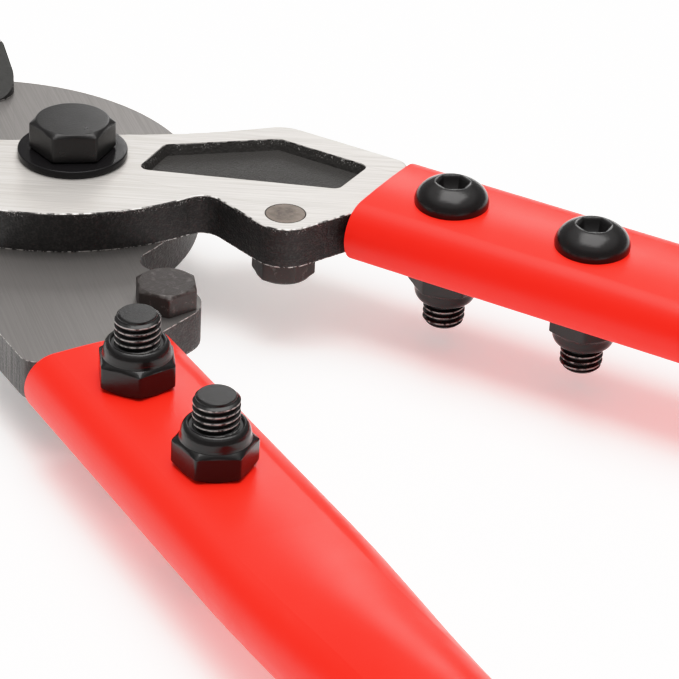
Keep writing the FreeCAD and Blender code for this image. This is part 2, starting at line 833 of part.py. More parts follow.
def build_half(side, place):
    """All the pieces of one half of the tool."""
    pieces = [
        build_arm(side + "_jaw_arm", place),
        build_stop_bolt(side + "_stop_bolt", place),
        build_tube(side + "_handle_tube", place),
        build_grip(side + "_grip", place),
    ]
    for end, along in bolt_places.items():
        seat = Placement(Vector(along, handle_line, tube_middle + tube_half_height), Rotation())
        nut_place = place.multiply(seat)
        pieces.append(build_handle_bolt("%s_%s_bolt" % (side, end), place, along))
        nut = (nut_place, bolt_shank, nut_flats, nut_height)
        pieces.append(build_lock_nut("%s_%s_nut" % (side, end), *nut, nut_turns[end]))
        pieces.append(build_nut_ring("%s_%s_nut_ring" % (side, end), *nut))
    return pieces


def build_pivot():
    """The pivot bolt with its two washers and lock nut."""
    above = half_gap + plate + size("end_play")
    below = -half_gap - plate - size("pivot_washer_thick")
    upside_down = Placement(Vector(0, 0, below), Rotation(Vector(1, 0, 0), 180))
    nut = (pivot_place.multiply(upside_down), pivot_shank, pivot_flats, pivot_nut_height)
    return [
        build_pivot_bolt(),
        build_pivot_washer("pivot_washer_top", above),
        build_pivot_washer("pivot_washer_bottom", below),
        build_lock_nut("pivot_nut", *nut, 0.0),
        build_nut_ring("pivot_nut_ring", *nut),
    ]


def check_and_export(pieces):
    """Stop on any failed feature, then write each piece as its own file."""
    doc.recompute()
    for item in doc.Objects:
        faults = [state for state in item.State if state in ("Invalid", "Error")]
        assert not faults, "%s is %s" % (item.Label, faults)
    for piece in pieces:
        shape = piece.Shape
        assert not shape.isNull() and shape.isValid(), piece.Label + " has no sound shape"
        assert len(shape.Solids) == 1, "%s has %d solids" % (piece.Label, len(shape.Solids))
    os.makedirs("parts", exist_ok=True)
    for piece in pieces:
        piece.Shape.exportStep(os.path.join("parts", piece.Label + ".step"))
        box = piece.Shape.BoundBox
        report = (piece.Label, piece.Shape.Volume, box.ZMin, box.ZMax)
        print("%-24s %10.1f mm3  z %6.2f to %6.2f" % report)


check_and_export(build_pivot() + build_half("lower", lower_place) + build_half("upper", upper_place))
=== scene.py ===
import logging
import math
from dataclasses import dataclass, field
from enum import Enum
from typing import Any, Callable

import bpy
import numpy as np
from mathutils import Matrix, Vector


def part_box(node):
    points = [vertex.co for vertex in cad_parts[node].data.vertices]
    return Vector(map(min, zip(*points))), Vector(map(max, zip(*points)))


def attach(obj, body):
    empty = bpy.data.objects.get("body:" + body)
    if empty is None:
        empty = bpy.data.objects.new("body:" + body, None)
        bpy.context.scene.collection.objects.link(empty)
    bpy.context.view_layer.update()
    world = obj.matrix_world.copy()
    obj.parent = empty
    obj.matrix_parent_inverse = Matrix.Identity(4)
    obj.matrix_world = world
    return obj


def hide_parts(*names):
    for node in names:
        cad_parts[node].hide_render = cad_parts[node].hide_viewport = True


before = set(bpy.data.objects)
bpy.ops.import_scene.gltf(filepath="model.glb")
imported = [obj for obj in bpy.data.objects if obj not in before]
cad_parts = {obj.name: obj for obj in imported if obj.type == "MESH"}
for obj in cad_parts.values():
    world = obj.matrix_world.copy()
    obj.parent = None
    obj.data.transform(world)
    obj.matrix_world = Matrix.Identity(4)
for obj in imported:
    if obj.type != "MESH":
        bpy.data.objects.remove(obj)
bpy.context.view_layer.update()

LOG = logging.getLogger("cutters")
MM = 0.001
UNDERSIDE_UP = np.array([1.0, -1.0, -1.0])
CHAMFER = math.tan(math.radians(30))
FACE_SHARE = 0.95
CAP_SIDES = 9
THREAD_SIDES = 128
THREAD_ROWS = 144
NUT_GAP = 0.02 * MM

Colour = tuple[float, float, float]
Spot = tuple[float, float, float]
Node = bpy.types.Node
Socket = bpy.types.NodeSocket
Row = tuple[float, float]
Faces = list[tuple[int, ...]]
Shell = tuple[np.ndarray, Faces]

NYLON: Colour = (0.015, 0.015, 0.016)


class Side(Enum):
    """The two halves of the tool, by the arm that lies under or over the other."""

    LOWER = "lower"
    UPPER = "upper"

    @property
    def body(self) -> str:
        """The moving body this half rides on."""
        return self.value + "_half"

    @property
    def outward(self) -> float:
        """Which way up this half's outer face looks: +1 up, -1 down."""
        return 1.0 if self is Side.UPPER else -1.0


# ---------------------------------------------------------------- shader graphs


class Graph:
    """Short ways to add and join the nodes of one shader tree."""

    def __init__(self, tree: bpy.types.NodeTree) -> None:
        """Start on an empty tree."""
        self.tree = tree

    def add(self, kind: str, values: dict[Any, Any] | None = None, **settings: Any) -> Node:
        """Add a node.

        Args:
            kind: the node's type, without its "ShaderNode" beginning.
            values: what goes into its inputs, by name or place: a socket to join, or a value.
            settings: the node's own properties.

        Returns:
            The new node.
        """
        node = self.tree.nodes.new("ShaderNode" + kind)
        for name, value in settings.items():
            setattr(node, name, value)
        self.join(node, values or {})
        return node

    def join(self, node: Node, values: dict[Any, Any]) -> None:
        """Feed several of a node's inputs, by name or place."""
        for key, value in values.items():
            self.feed(node.inputs[key], value)

    def feed(self, target: Socket, value: Any) -> None:
        """Join a socket to an input, or set the input's own value."""
        if isinstance(value, Socket):
            self.tree.links.new(value, target)
        elif isinstance(value, tuple) and target.type == "RGBA":
            target.default_value = (*value, 1.0)
        else:
            target.default_value = value

    def math(self, operation: str, first: Any, second: Any = 0.0, third: Any = 0.0) -> Socket:
        """One sum on numbers."""
        return self.add("Math", {0: first, 1: second, 2: third}, operation=operation).outputs[0]

    def ease(self, value: Any, low: float, high: float) -> Socket:
        """A number that goes smoothly from 0 at low to 1 at high."""
        node = self.add("MapRange", {"Value": value, "From Min": low, "From Max": high},
                        interpolation_type="SMOOTHSTEP")
        return node.outputs["Result"]

    def blend(self, share: Any, first: Any, second: Any) -> Socket:
        """A number between two others."""
        return self.add("Mix", {0: share, 2: first, 3: second}, data_type="FLOAT").outputs[0]

    def mix(self, share: Any, first: Any, second: Any) -> Socket:
        """A colour between two others."""
        return self.add("Mix", {0: share, 6: first, 7: second}, data_type="RGBA").outputs[2]

    def noise(self, vector: Socket, scale: Any, detail: float = 3.0, rough: float = 0.55) -> Socket:
        """Cloudy noise, from 0 to 1."""
        values = {"Vector": vector, "Scale": scale, "Detail": detail, "Roughness": rough}
        return self.add("TexNoise", values).outputs["Fac"]

    def product(self, first: Any, *others: Any) -> Socket:
        """Numbers multiplied together, from left to right."""
        for other in others:
            first = self.math("MULTIPLY", first, other)
        return first

    def rest(self, share: Any) -> Socket:
        """What a share leaves of 1."""
        return self.math("SUBTRACT", 1.0, share)

    def fade(self, value: Any, low: float, high: float) -> Socket:
        """A number that goes smoothly from 1 at low to 0 at high."""
        return self.rest(self.ease(value, low, high))

    def lean(self, where: Node) -> Socket:
        """How far a face looks up or down: 1 when it lies flat, 0 when it stands."""
        return self.math("ABSOLUTE", self.add("SeparateXYZ", {0: where.outputs["Normal"]}).outputs[2])

    def away(self, place: Socket, centre: Spot) -> Socket:
        """How far a place is from an upright axis, in metres."""
        level = self.add("VectorMath", {0: place, 1: (1.0, 1.0, 0.0)}, operation="MULTIPLY").outputs[0]
        return self.add("VectorMath", {0: level, 1: centre}, operation="DISTANCE").outputs["Value"]

    def use(self, group: bpy.types.NodeTree, values: dict[str, Any]) -> Node:
        """Place a shared group with its own values."""
        node = self.tree.nodes.new("ShaderNodeGroup")
        node.node_tree = group
        self.join(node, values)
        return node


class SharedEffects:
    """The node groups that more than one finish uses, each built once."""

    def __init__(self) -> None:
        """Build every group."""
        self.streaks = self._build("streaks", self._streaks, ("Turn", "Fineness"), ("Mask", "Broad"))
        self.grain = self._build("forged_grain", self._grain, ("Scale",), ("Height", "Mask"))
        self.wear = self._build("edge_wear", self._wear, ("Lean", "Breakup"), ("Mask",))
        self.scuffs = self._build("scuffs", self._scuffs, ("Scale", "Amount"), ("Mask",))

    def _build(self, name: str, fill: Callable[[Graph, dict[str, Socket]], dict[str, Socket]],
               numbers: tuple[str, ...], outputs: tuple[str, ...]) -> bpy.types.NodeTree:
        """Make one group, which always takes a Vector.

        Args:
            name: the group's name.
            fill: adds the nodes and says what each output is.
            numbers: its other inputs' names.
            outputs: the outputs' names.

        Returns:
            The finished group.
        """
        tree = bpy.data.node_groups.new(name, "ShaderNodeTree")
        tree.interface.new_socket(name="Vector", in_out="INPUT", socket_type="NodeSocketVector")
        for way, labels in (("INPUT", numbers), ("OUTPUT", outputs)):
            for label in labels:
                tree.interface.new_socket(name=label, in_out=way, socket_type="NodeSocketFloat")
        graph = Graph(tree)
        entry = tree.nodes.new("NodeGroupInput")
        leave = tree.nodes.new("NodeGroupOutput")
        graph.join(leave, fill(graph, {label: entry.outputs[label] for label in ("Vector", *numbers)}))
        return tree

    def _streaks(self, graph: Graph, given: dict[str, Socket]) -> dict[str, Socket]:
        """Fine parallel grinding lines, and broad soft bands across them."""
        turn = graph.math("MULTIPLY", given["Turn"], -1.0)
        spin = graph.add("VectorRotate", {"Vector": given["Vector"], "Angle": turn}, rotation_type="Z_AXIS")
        long = graph.add("Mapping", {"Vector": spin.outputs[0], "Scale": (0.012, 1.0, 1.0)}).outputs[0]
        fewer = graph.math("MULTIPLY", given["Fineness"], 0.14)
        return {"Mask": graph.noise(long, given["Fineness"], 4.0, 0.7),
                "Broad": graph.noise(long, fewer, 2.0, 0.5)}

    def _grain(self, graph: Graph, given: dict[str, Socket]) -> dict[str, Socket]:
        """The pitted skin of forged or cast steel."""
        coarse = graph.noise(given["Vector"], given["Scale"], 5.0, 0.65)
        finer = graph.math("MULTIPLY", given["Scale"], 2.3)
        cell = graph.add("TexVoronoi", {"Vector": given["Vector"], "Scale": finer}, feature="F1")
        height = graph.math("MULTIPLY_ADD", cell.outputs["Distance"], 0.45, coarse)
        return {"Height": height, "Mask": graph.ease(height, 0.62, 0.98)}

    def _wear(self, graph: Graph, given: dict[str, Socket]) -> dict[str, Socket]:
        """Where a softened edge is rubbed bright, broken up along its length."""
        leaning = graph.product(graph.ease(given["Lean"], 0.16, 0.5), graph.fade(given["Lean"], 0.93, 0.995))
        broken = graph.noise(given["Vector"], given["Breakup"], 3.0, 0.5)
        return {"Mask": graph.product(leaning, graph.ease(broken, 0.42, 0.58))}

    def _scuffs(self, graph: Graph, given: dict[str, Socket]) -> dict[str, Socket]:
        """Sparse little rubbed spots and dust."""
        spots = graph.noise(given["Vector"], given["Scale"], 6.0, 0.72)
        level = graph.math("SUBTRACT", 0.80, graph.math("MULTIPLY", given["Amount"], 0.3))
        over = graph.math("SUBTRACT", spots, level)
        return {"Mask": graph.ease(over, 0.0, 0.06)}


class Finish:
    """What every finish does: make its material once and lend it out."""

    name: str

    def material(self, shared: SharedEffects) -> bpy.types.Material:
        """Return the material, building it the first time.

        Args:
            shared: the shared node groups.

        Returns:
            The material of this finish.
        """
        found = bpy.data.materials.get(self.name)
        if found is not None:
            return found
        made = bpy.data.materials.new(self.name)
        made.use_nodes = True
        made.node_tree.nodes.clear()
        graph = Graph(made.node_tree)
        where = graph.add("TexCoord")
        shader = graph.add("BsdfPrincipled")
        self.fill(graph, shader, where, shared)
        output = graph.add("OutputMaterial")
        made.node_tree.links.new(shader.outputs[0], output.inputs["Surface"])
        return made

    def fill(self, graph: Graph, shader: Node, where: Node, shared: SharedEffects) -> None:
        """Join this finish's nodes to its shader."""
        raise NotImplementedError

    def uneven(self, graph: Graph, shader: Node, pattern: Socket, middle: float, spread: float) -> None:
        """Let the roughness wander by a spread about its middle value."""
        rough = graph.math("MULTIPLY_ADD", pattern, spread, middle - spread / 2)
        graph.feed(shader.inputs["Roughness"], rough)

    def bump(self, graph: Graph, shader: Node, height: Any, depth: float) -> None:
        """Let a height in 0 to 1 stand a depth in metres out of the surface."""
        node = graph.add("Bump", {"Height": height, "Distance": depth, "Strength": 1.0})
        graph.feed(shader.inputs["Normal"], node.outputs[0])


@dataclass(frozen=True)
class ForgedArm(Finish):
    """Forged steel, ground on its flat faces, with black scale left on its edges and in its dish.

    Attributes:
        outer_level: height of the arm's outer face.
        thickness: how thick the arm is.
        streak_turn: the way the grinding lines run, in degrees.
        scratch_turn: the way the coarser scratches run, in degrees.
        streak_share: how strongly lines and scratches show.
        throat_centre: middle of the round throat, where the blade's bevel is cut.
        pale_side: which way along x the side skin turns paler, or 0 for nowhere.
        pale_band: how far out it starts to pale, and where it is palest.
        shade_radius: how far round the pivot the ground face is darkened by painted shade, or 0 for nowhere.
        dish_top: how deep below the outer face the dish's scale starts.
        dish_bottom: how deep it ends.
        dish_front: how far along y the dish is certain, and where it must have ended.
    """

    name: str
    outer_level: float
    thickness: float
    ground: Colour
    ground_dark: Colour
    scale_skin: Colour
    scale_speck: Colour
    streak_turn: float
    scratch_turn: float
    ground_roughness: float
    streak_share: float
    throat_centre: Spot
    pale_side: float = 0.0
    pale_band: tuple[float, float] = (22.0 * MM, 40.0 * MM)
    pale_skin: Colour = (0.085, 0.08, 0.078)
    worn: Colour = (0.62, 0.60, 0.58)
    bevel: Colour = (0.008, 0.008, 0.007)
    dish_floor: Colour = (0.019, 0.0175, 0.016)
    shade_radius: float = 0.0
    # shade_front and shade: how far ahead of the pivot the painted shade reaches, and its colour
    shade_front: float = -25.0 * MM
    shade: Colour = (0.075, 0.071, 0.069)
    bevel_reach: float = 28.2 * MM
    dish_top: float = 0.15 * MM
    dish_bottom: float = 3.2 * MM
    dish_front: tuple[float, float] = (-4.0 * MM, -2.0 * MM)
    line_fineness: float = 2600.0
    scratch_fineness: float = 900.0
    grain_scale: float = 900.0
    shear_scale: float = 1300.0
    specular: float = 0.32
    relief: float = 0.2 * MM

    def zones(self, graph: Graph, where: Node) -> dict[str, Socket]:
        """Where the ground face, the dish, the bevel and the rims are."""
        place = where.outputs["Object"]
        split = graph.add("SeparateXYZ", {0: place})
        lean = graph.lean(where)
        depth = graph.math("ABSOLUTE", graph.math("SUBTRACT", split.outputs[2], self.outer_level))
        ragged = graph.math("MULTIPLY_ADD", graph.noise(place, 1400.0), 0.03, lean)
        flat = graph.ease(ragged, 0.965, 0.995)
        not_deep = graph.fade(depth, self.dish_bottom, 1.1 * self.dish_bottom)
        sunk = graph.product(graph.ease(depth, self.dish_top, 2 * self.dish_top), not_deep)
        behind = graph.fade(split.outputs[1], *self.dish_front)
        dish = graph.product(sunk, behind, graph.ease(lean, 0.08, 0.2))
        reach = graph.away(place, self.throat_centre)
        ahead = graph.fade(reach, self.bevel_reach, 1.02 * self.bevel_reach)
        sloping = graph.product(graph.ease(lean, 0.55, 0.62), graph.rest(flat))
        return {"lean": lean, "depth": depth, "dish": dish, "bevel": graph.product(ahead, sloping),
                "ground": graph.product(flat, graph.rest(dish)), "across": split.outputs[0],
                "along": split.outputs[1]}

    def rims(self, graph: Graph, place: Socket, zone: dict[str, Socket], shared: SharedEffects) -> Socket:
        """Where the rims are rubbed bright: the outer edge, glints below it and the inner edge's line."""
        wear = graph.use(shared.wear, {"Vector": place, "Lean": zone["lean"], "Breakup": 420.0})
        speck = graph.ease(graph.noise(place, 2300.0, 4.0, 0.7), 0.56, 0.64)
        near = graph.fade(zone["depth"], 0.3 * MM, 1.9 * MM)
        patch = graph.ease(graph.noise(place, 260.0), 0.38, 0.6)
        glints = graph.product(speck, near, patch)
        inner = graph.ease(zone["depth"], self.thickness - 0.30 * MM, self.thickness - 0.12 * MM)
        line = graph.product(inner, graph.ease(graph.noise(place, 1100.0, 4.0, 0.7), 0.44, 0.60))
        outside = graph.rest(graph.math("MAXIMUM", zone["dish"], zone["bevel"]))
        edges = graph.product(graph.math("MAXIMUM", wear.outputs["Mask"], line), outside)
        return graph.math("MAXIMUM", edges, graph.product(glints, 0.75))

    def bare(self, graph: Graph, place: Socket, zone: dict[str, Socket], lines: Node,
             scratches: Node) -> Socket:
        """The colour of the ground faces, darker round and behind the pivot, where shade from the upper arm
        is painted on.
        """
        tone = graph.math("MULTIPLY_ADD", graph.ease(lines.outputs["Mask"], 0.36, 0.66), self.streak_share,
                          graph.product(lines.outputs["Broad"], 0.3))
        tone = graph.math("MULTIPLY_ADD", graph.ease(scratches.outputs["Mask"], 0.60, 0.74),
                          0.5 * self.streak_share, tone)
        bare = graph.mix(tone, self.ground, self.ground_dark)
        if not self.shade_radius:
            return bare
        # painted shade: the ground face darkens round the pivot, most inside shade_radius, and only behind
        # it along y
        outer = graph.ease(graph.away(place, (0.0, 0.0, 0.0)), self.shade_radius, 1.3 * self.shade_radius)
        ring = graph.math("SUBTRACT", 0.8, graph.product(outer, 0.45))
        ring = graph.product(ring, graph.fade(zone["along"], self.shade_front, 0.0))
        return graph.mix(ring, bare, self.shade)

    def skin(self, graph: Graph, place: Socket, zone: dict[str, Socket], speckle: Socket,
             shear: Socket) -> Socket:
        """The colour of the forged skin on the edges and in the dish."""
        skin = graph.mix(graph.product(speckle, shear), self.scale_skin, self.scale_speck)
        if self.pale_side:
            toward = graph.product(zone["across"], self.pale_side)
            pale = graph.product(graph.ease(toward, *self.pale_band), graph.ease(shear, 0.3, 0.6))
            skin = graph.mix(pale, skin, self.pale_skin)
        sparkle = graph.ease(graph.noise(place, 1700.0, 4.0, 0.7), 0.55, 0.75)
        return graph.mix(zone["dish"], skin, graph.mix(sparkle, self.dish_floor, self.scale_skin))

    def fill(self, graph: Graph, shader: Node, where: Node, shared: SharedEffects) -> None:
        """Join ground faces, black edges, the dish, the bevel and the worn rims."""
        place = where.outputs["Object"]
        zone = self.zones(graph, where)
        lines, scratches = (
            graph.use(shared.streaks, {"Vector": place, "Turn": math.radians(turn), "Fineness": fineness})
            for turn, fineness in ((self.streak_turn, self.line_fineness),
                                   (self.scratch_turn, self.scratch_fineness)))
        grain = graph.use(shared.grain, {"Vector": place, "Scale": self.grain_scale})
        sheared = graph.add("Mapping", {"Vector": place, "Scale": (1.0, 1.0, 0.05)}).outputs[0]
        shear = graph.noise(sheared, self.shear_scale)
        worn = self.rims(graph, place, zone, shared)
        bare = self.bare(graph, place, zone, lines, scratches)
        skin = self.skin(graph, place, zone, grain.outputs["Mask"], shear)
        skin = graph.mix(zone["bevel"], graph.mix(worn, skin, self.worn), self.bevel)
        metal = graph.math("MAXIMUM", zone["ground"], worn)
        rough = graph.math("MULTIPLY_ADD", lines.outputs["Mask"], 0.16, self.ground_roughness - 0.08)
        skin_rough = graph.math("MULTIPLY_ADD", graph.noise(place, self.line_fineness), 0.4, 0.30)
        graph.join(shader, {"Base Color": graph.mix(zone["ground"], skin, bare),
                            "Metallic": graph.math("MAXIMUM", metal, graph.product(zone["bevel"], 0.3)),
                            "Roughness": graph.blend(zone["ground"], skin_rough, rough),
                            "Specular IOR Level": self.specular})
        rugged = graph.math("MULTIPLY_ADD", shear, 0.5, grain.outputs["Height"])
        pits = graph.product(rugged, graph.rest(graph.math("MAXIMUM", zone["ground"], zone["bevel"])))
        cuts = graph.product(lines.outputs["Mask"], zone["ground"])
        self.bump(graph, shader, graph.math("MULTIPLY_ADD", cuts, 0.04, pits), self.relief)


@dataclass(frozen=True)
class BlackOxide(Finish):
    """Black oxide on a bolt or a nut, a little oily, with rubbed spots.

    Attributes:
        axes: where threaded ends stand, seen from above; each thread's crest gets a painted highlight.
        crest_radius: how far a crest is from its axis.
    """

    name: str = "black_oxide"
    colour: Colour = (0.006, 0.0055, 0.0055)
    rubbed: Colour = (0.05, 0.046, 0.043)
    roughness: float = 0.19
    specular: float = 0.30
    rubbed_amount: float = 0.35
    axes: tuple[Spot, ...] = ()
    crest_radius: float = 5.0 * MM
    # crest: colour of the painted highlight on each thread's crest
    crest: Colour = (0.34, 0.33, 0.32)

    def crest_highlights(self, graph: Graph, where: Node) -> Socket:
        """Where each thread's crest gets a painted highlight, a bright line standing in for its glint."""
        place = where.outputs["Object"]
        reach: Any = 1.0
        for axis in self.axes:
            reach = graph.math("MINIMUM", graph.away(place, axis), reach)
        inside = graph.ease(reach, self.crest_radius - 0.30 * MM, self.crest_radius - 0.12 * MM)
        outside = graph.fade(reach, self.crest_radius + 0.04 * MM, self.crest_radius + 0.1 * MM)
        side = graph.fade(graph.lean(where), 0.55, 0.72)
        broken = graph.ease(graph.noise(place, 650.0), 0.36, 0.56)
        return graph.product(inside, outside, side, broken)

    def fill(self, graph: Graph, shader: Node, where: Node, shared: SharedEffects) -> None:
        """Join the oxide, its smears, its rubbed spots and the painted highlight on each thread's crest."""
        place = where.outputs["Object"]
        spots = graph.use(shared.scuffs, {"Vector": place, "Scale": 700.0, "Amount": self.rubbed_amount})
        smear = graph.noise(place, 260.0, 4.0)
        skin = graph.mix(spots.outputs["Mask"], self.colour, self.rubbed)
        if self.axes:
            # painted highlight on each thread's crest
            skin = graph.mix(self.crest_highlights(graph, where), skin, self.crest)
        graph.join(shader, {"Base Color": skin, "Specular IOR Level": self.specular})
        self.uneven(graph, shader, smear, self.roughness, 0.18)
        grain = graph.use(shared.grain, {"Vector": place, "Scale": 1500.0})
        self.bump(graph, shader, grain.outputs["Height"], 0.025 * MM)


@dataclass(frozen=True)
class WornStop(Finish):
    """A brown-black stop bolt whose threaded end is ground flush with the arm.

    Attributes:
        flush_level: height of the ground end.
        centre: middle of the bolt, seen from above.
    """

    name: str
    flush_level: float
    centre: Spot
    radius: float = 4.8 * MM
    colour: Colour = (0.022, 0.0165, 0.015)
    rubbed: Colour = (0.060, 0.052, 0.049)
    flush: Colour = (0.27, 0.225, 0.19)
    flush_dark: Colour = (0.10, 0.082, 0.07)
    roughness: float = 0.485

    def fill(self, graph: Graph, shader: Node, where: Node, shared: SharedEffects) -> None:
        """Join the brown skin, its rubbed rims and the ground end with its dark ring and a painted sheen
        that lightens it toward its rim.
        """
        place = where.outputs["Object"]
        level = graph.add("SeparateXYZ", {0: place}).outputs[2]
        lean = graph.lean(where)
        near = graph.math("ABSOLUTE", graph.math("SUBTRACT", level, self.flush_level))
        end = graph.fade(near, 0.05 * MM, 0.2 * MM)
        spots = graph.use(shared.scuffs, {"Vector": place, "Scale": 620.0, "Amount": 0.8}).outputs["Mask"]
        wear = graph.use(shared.wear, {"Vector": place, "Lean": lean, "Breakup": 500.0}).outputs["Mask"]
        skin = graph.mix(graph.math("MAXIMUM", spots, wear), self.colour, self.rubbed)
        reach = graph.away(place, self.centre)
        wobble = graph.math("MULTIPLY_ADD", graph.noise(place, 300.0), 0.8 * MM, reach)
        # painted sheen: the ground end lightens toward its rim
        sheen_rim = graph.ease(wobble, 0.45 * self.radius, self.radius)
        cloud = graph.mix(graph.product(graph.noise(place, 520.0), 1.6), self.flush, self.flush_dark)
        cloud = graph.mix(graph.product(sheen_rim, 0.35), cloud, self.flush)
        ground = graph.mix(graph.ease(reach, 0.93 * self.radius, 0.97 * self.radius), cloud, self.colour)
        graph.join(shader, {"Base Color": graph.mix(end, skin, ground),
                            "Metallic": graph.math("MULTIPLY_ADD", end, 0.6, 0.3)})
        self.uneven(graph, shader, graph.noise(place, 900.0), self.roughness, 0.25)
        grain = graph.use(shared.grain, {"Vector": place, "Scale": 1100.0})
        self.bump(graph, shader, grain.outputs["Height"], 0.05 * MM)


@dataclass(frozen=True)
class PowderCoat(Finish):
    """Bright red powder coat, half gloss, with a faint orange peel on a slightly crowned tube.

    Attributes:
        middle: a point on the tube's centre line, seen from above.
        along: the way the tube runs, in degrees.
        crown: radius of the flattened end's gentle crown.
        crown_end: how far past the middle point the crown has faded into the round tube.
        peel: how deep the orange peel is.
    """

    name: str
    middle: tuple[float, float]
    along: float
    crown: float = 65.0 * MM
    crown_end: float = 95.0 * MM
    colour: Colour = (0.97, 0.019, 0.008)
    deep: Colour = (0.93, 0.016, 0.007)
    speck: Colour = (0.30, 0.01, 0.01)
    roughness: float = 0.36
    specular: float = 0.21
    peel: float = 0.012 * MM

    def crowned(self, graph: Graph, place: Socket) -> Socket:
        """How far the crown falls below the tube's top line, in metres."""
        turn = math.radians(self.along)
        ahead = (math.cos(turn), math.sin(turn), 0.0)
        beside = (-math.sin(turn), math.cos(turn), 0.0)
        reach, off = (graph.add("VectorMath", {0: place, 1: way}, operation="DOT_PRODUCT").outputs["Value"]
                      for way in (ahead, beside))
        start, centre = (self.middle[0] * way[0] + self.middle[1] * way[1] for way in (ahead, beside))
        off = graph.math("SUBTRACT", off, centre)
        return graph.product(off, off, -0.5 / self.crown, graph.fade(reach, start, start + self.crown_end))

    def fill(self, graph: Graph, shader: Node, where: Node, shared: SharedEffects) -> None:
        """Join the coat, its slow colour change, its specks, its peel and the crown."""
        place = where.outputs["Object"]
        slow = graph.noise(place, 24.0, 2.0)
        specks = graph.use(shared.scuffs, {"Vector": place, "Scale": 240.0, "Amount": 0.02})
        base = graph.mix(slow, self.colour, self.deep)
        graph.join(shader, {"Base Color": graph.mix(specks.outputs["Mask"], base, self.speck),
                            "Specular IOR Level": self.specular})
        self.uneven(graph, shader, graph.noise(place, 150.0), self.roughness, 0.10)
        peel = graph.noise(place, 620.0, 2.0)
        height = graph.math("MULTIPLY_ADD", self.crowned(graph, place), 1.0 / self.peel, peel)
        self.bump(graph, shader, height, self.peel)


@dataclass(frozen=True)
class Moulded(Finish):
    """Moulded rubber or plastic with a matt skin.

    Attributes:
        texture_depth: how deep the moulded texture is, in metres.
    """

    name: str
    colour: Colour
    roughness: float
    texture_depth: float

    def fill(self, graph: Graph, shader: Node, where: Node, shared: SharedEffects) -> None:
        """Join the skin, its dust and its moulded texture."""
        place = where.outputs["Object"]
        dust = graph.use(shared.scuffs, {"Vector": place, "Scale": 180.0, "Amount": 0.5})
        pale = tuple(min(1.0, 3.0 * part) for part in self.colour)
        graph.feed(shader.inputs["Base Color"], graph.mix(dust.outputs["Mask"], self.colour, pale))
        self.uneven(graph, shader, graph.noise(place, 400.0), self.roughness, 0.2)
        grain = graph.use(shared.grain, {"Vector": place, "Scale": 1300.0})
        self.bump(graph, shader, grain.outputs["Height"], self.texture_depth)


@dataclass(frozen=True)
class StudioFloor(Finish):
    """The pale lit table the tool lies on.

    Attributes:
        glow: how much light the table gives off by itself.
    """

    name: str = "studio_floor"
    colour: Colour = (0.93, 0.925, 0.92)
    roughness: float = 0.9
    specular: float = 0.1
    glow: float = 0.27

    def fill(self, graph: Graph, shader: Node, where: Node, shared: SharedEffects) -> None:
        """Join a faintly uneven pale card."""
        place = where.outputs["Object"]
        uneven = graph.noise(place, 3.0, 2.0)
        warm = tuple(0.985 * part for part in self.colour)
        graph.join(shader, {"Base Color": graph.mix(uneven, self.colour, warm), "Roughness": self.roughness,
                            "Specular IOR Level": self.specular, "Emission Color": self.colour,
                            "Emission Strength": self.glow})


# ---------------------------------------------------------------- meshes


def node_axis(node: str) -> Vector:
    """The middle of a CAD node's box, which is where a turned piece's axis stands."""
    low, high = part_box(node)
    return (low + high) / 2


def corner_turn(node: str) -> float:
    """The angle in radians at which a hexagon piece has a corner, read from its own shape."""
    centre = node_axis(node)
    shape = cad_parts[node].data
    flat = np.array([vertex.co[:2] for vertex in shape.vertices]) - np.array(centre[:2])
    far = flat[np.argmax(np.hypot(flat[:, 0], flat[:, 1]))]
    return math.atan2(far[1], far[0])


def soften(points: list[Row], radius: float, steps: int = 4) -> list[Row]:
    """Round the inner corners of an open profile.

    Args:
        points: (radius, height) along the profile.
        radius: how round each corner becomes, less where its edges are short.
        steps: how many points each corner gets.

    Returns:
        The profile with its corners rounded.
    """
    done = [points[0]]
    for before, corner, after in zip(points[:-2], points[1:-1], points[2:]):
        middle = Vector(corner)
        to_last = Vector(before) - middle
        to_next = Vector(after) - middle
        reach = min(radius, 0.45 * to_last.length, 0.45 * to_next.length)
        start = middle + to_last.normalized() * reach
        end = middle + to_next.normalized() * reach
        for step in range(steps + 1):
            share = step / steps
            point = (1 - share) ** 2 * start + 2 * share * (1 - share) * middle + share ** 2 * end
            done.append((point.x, point.y))
    done.append(points[-1])
    return done


def mesh_from(name: str, points: np.ndarray, faces: Faces) -> bpy.types.Mesh:
    """A mesh from points and faces, smooth but for its many-sided end caps."""
    mesh = bpy.data.meshes.new(name)
    mesh.from_pydata(points.tolist(), [], faces)
    mesh.polygons.foreach_set("use_smooth", [len(face) < CAP_SIDES for face in faces])
    mesh.update()
    return mesh


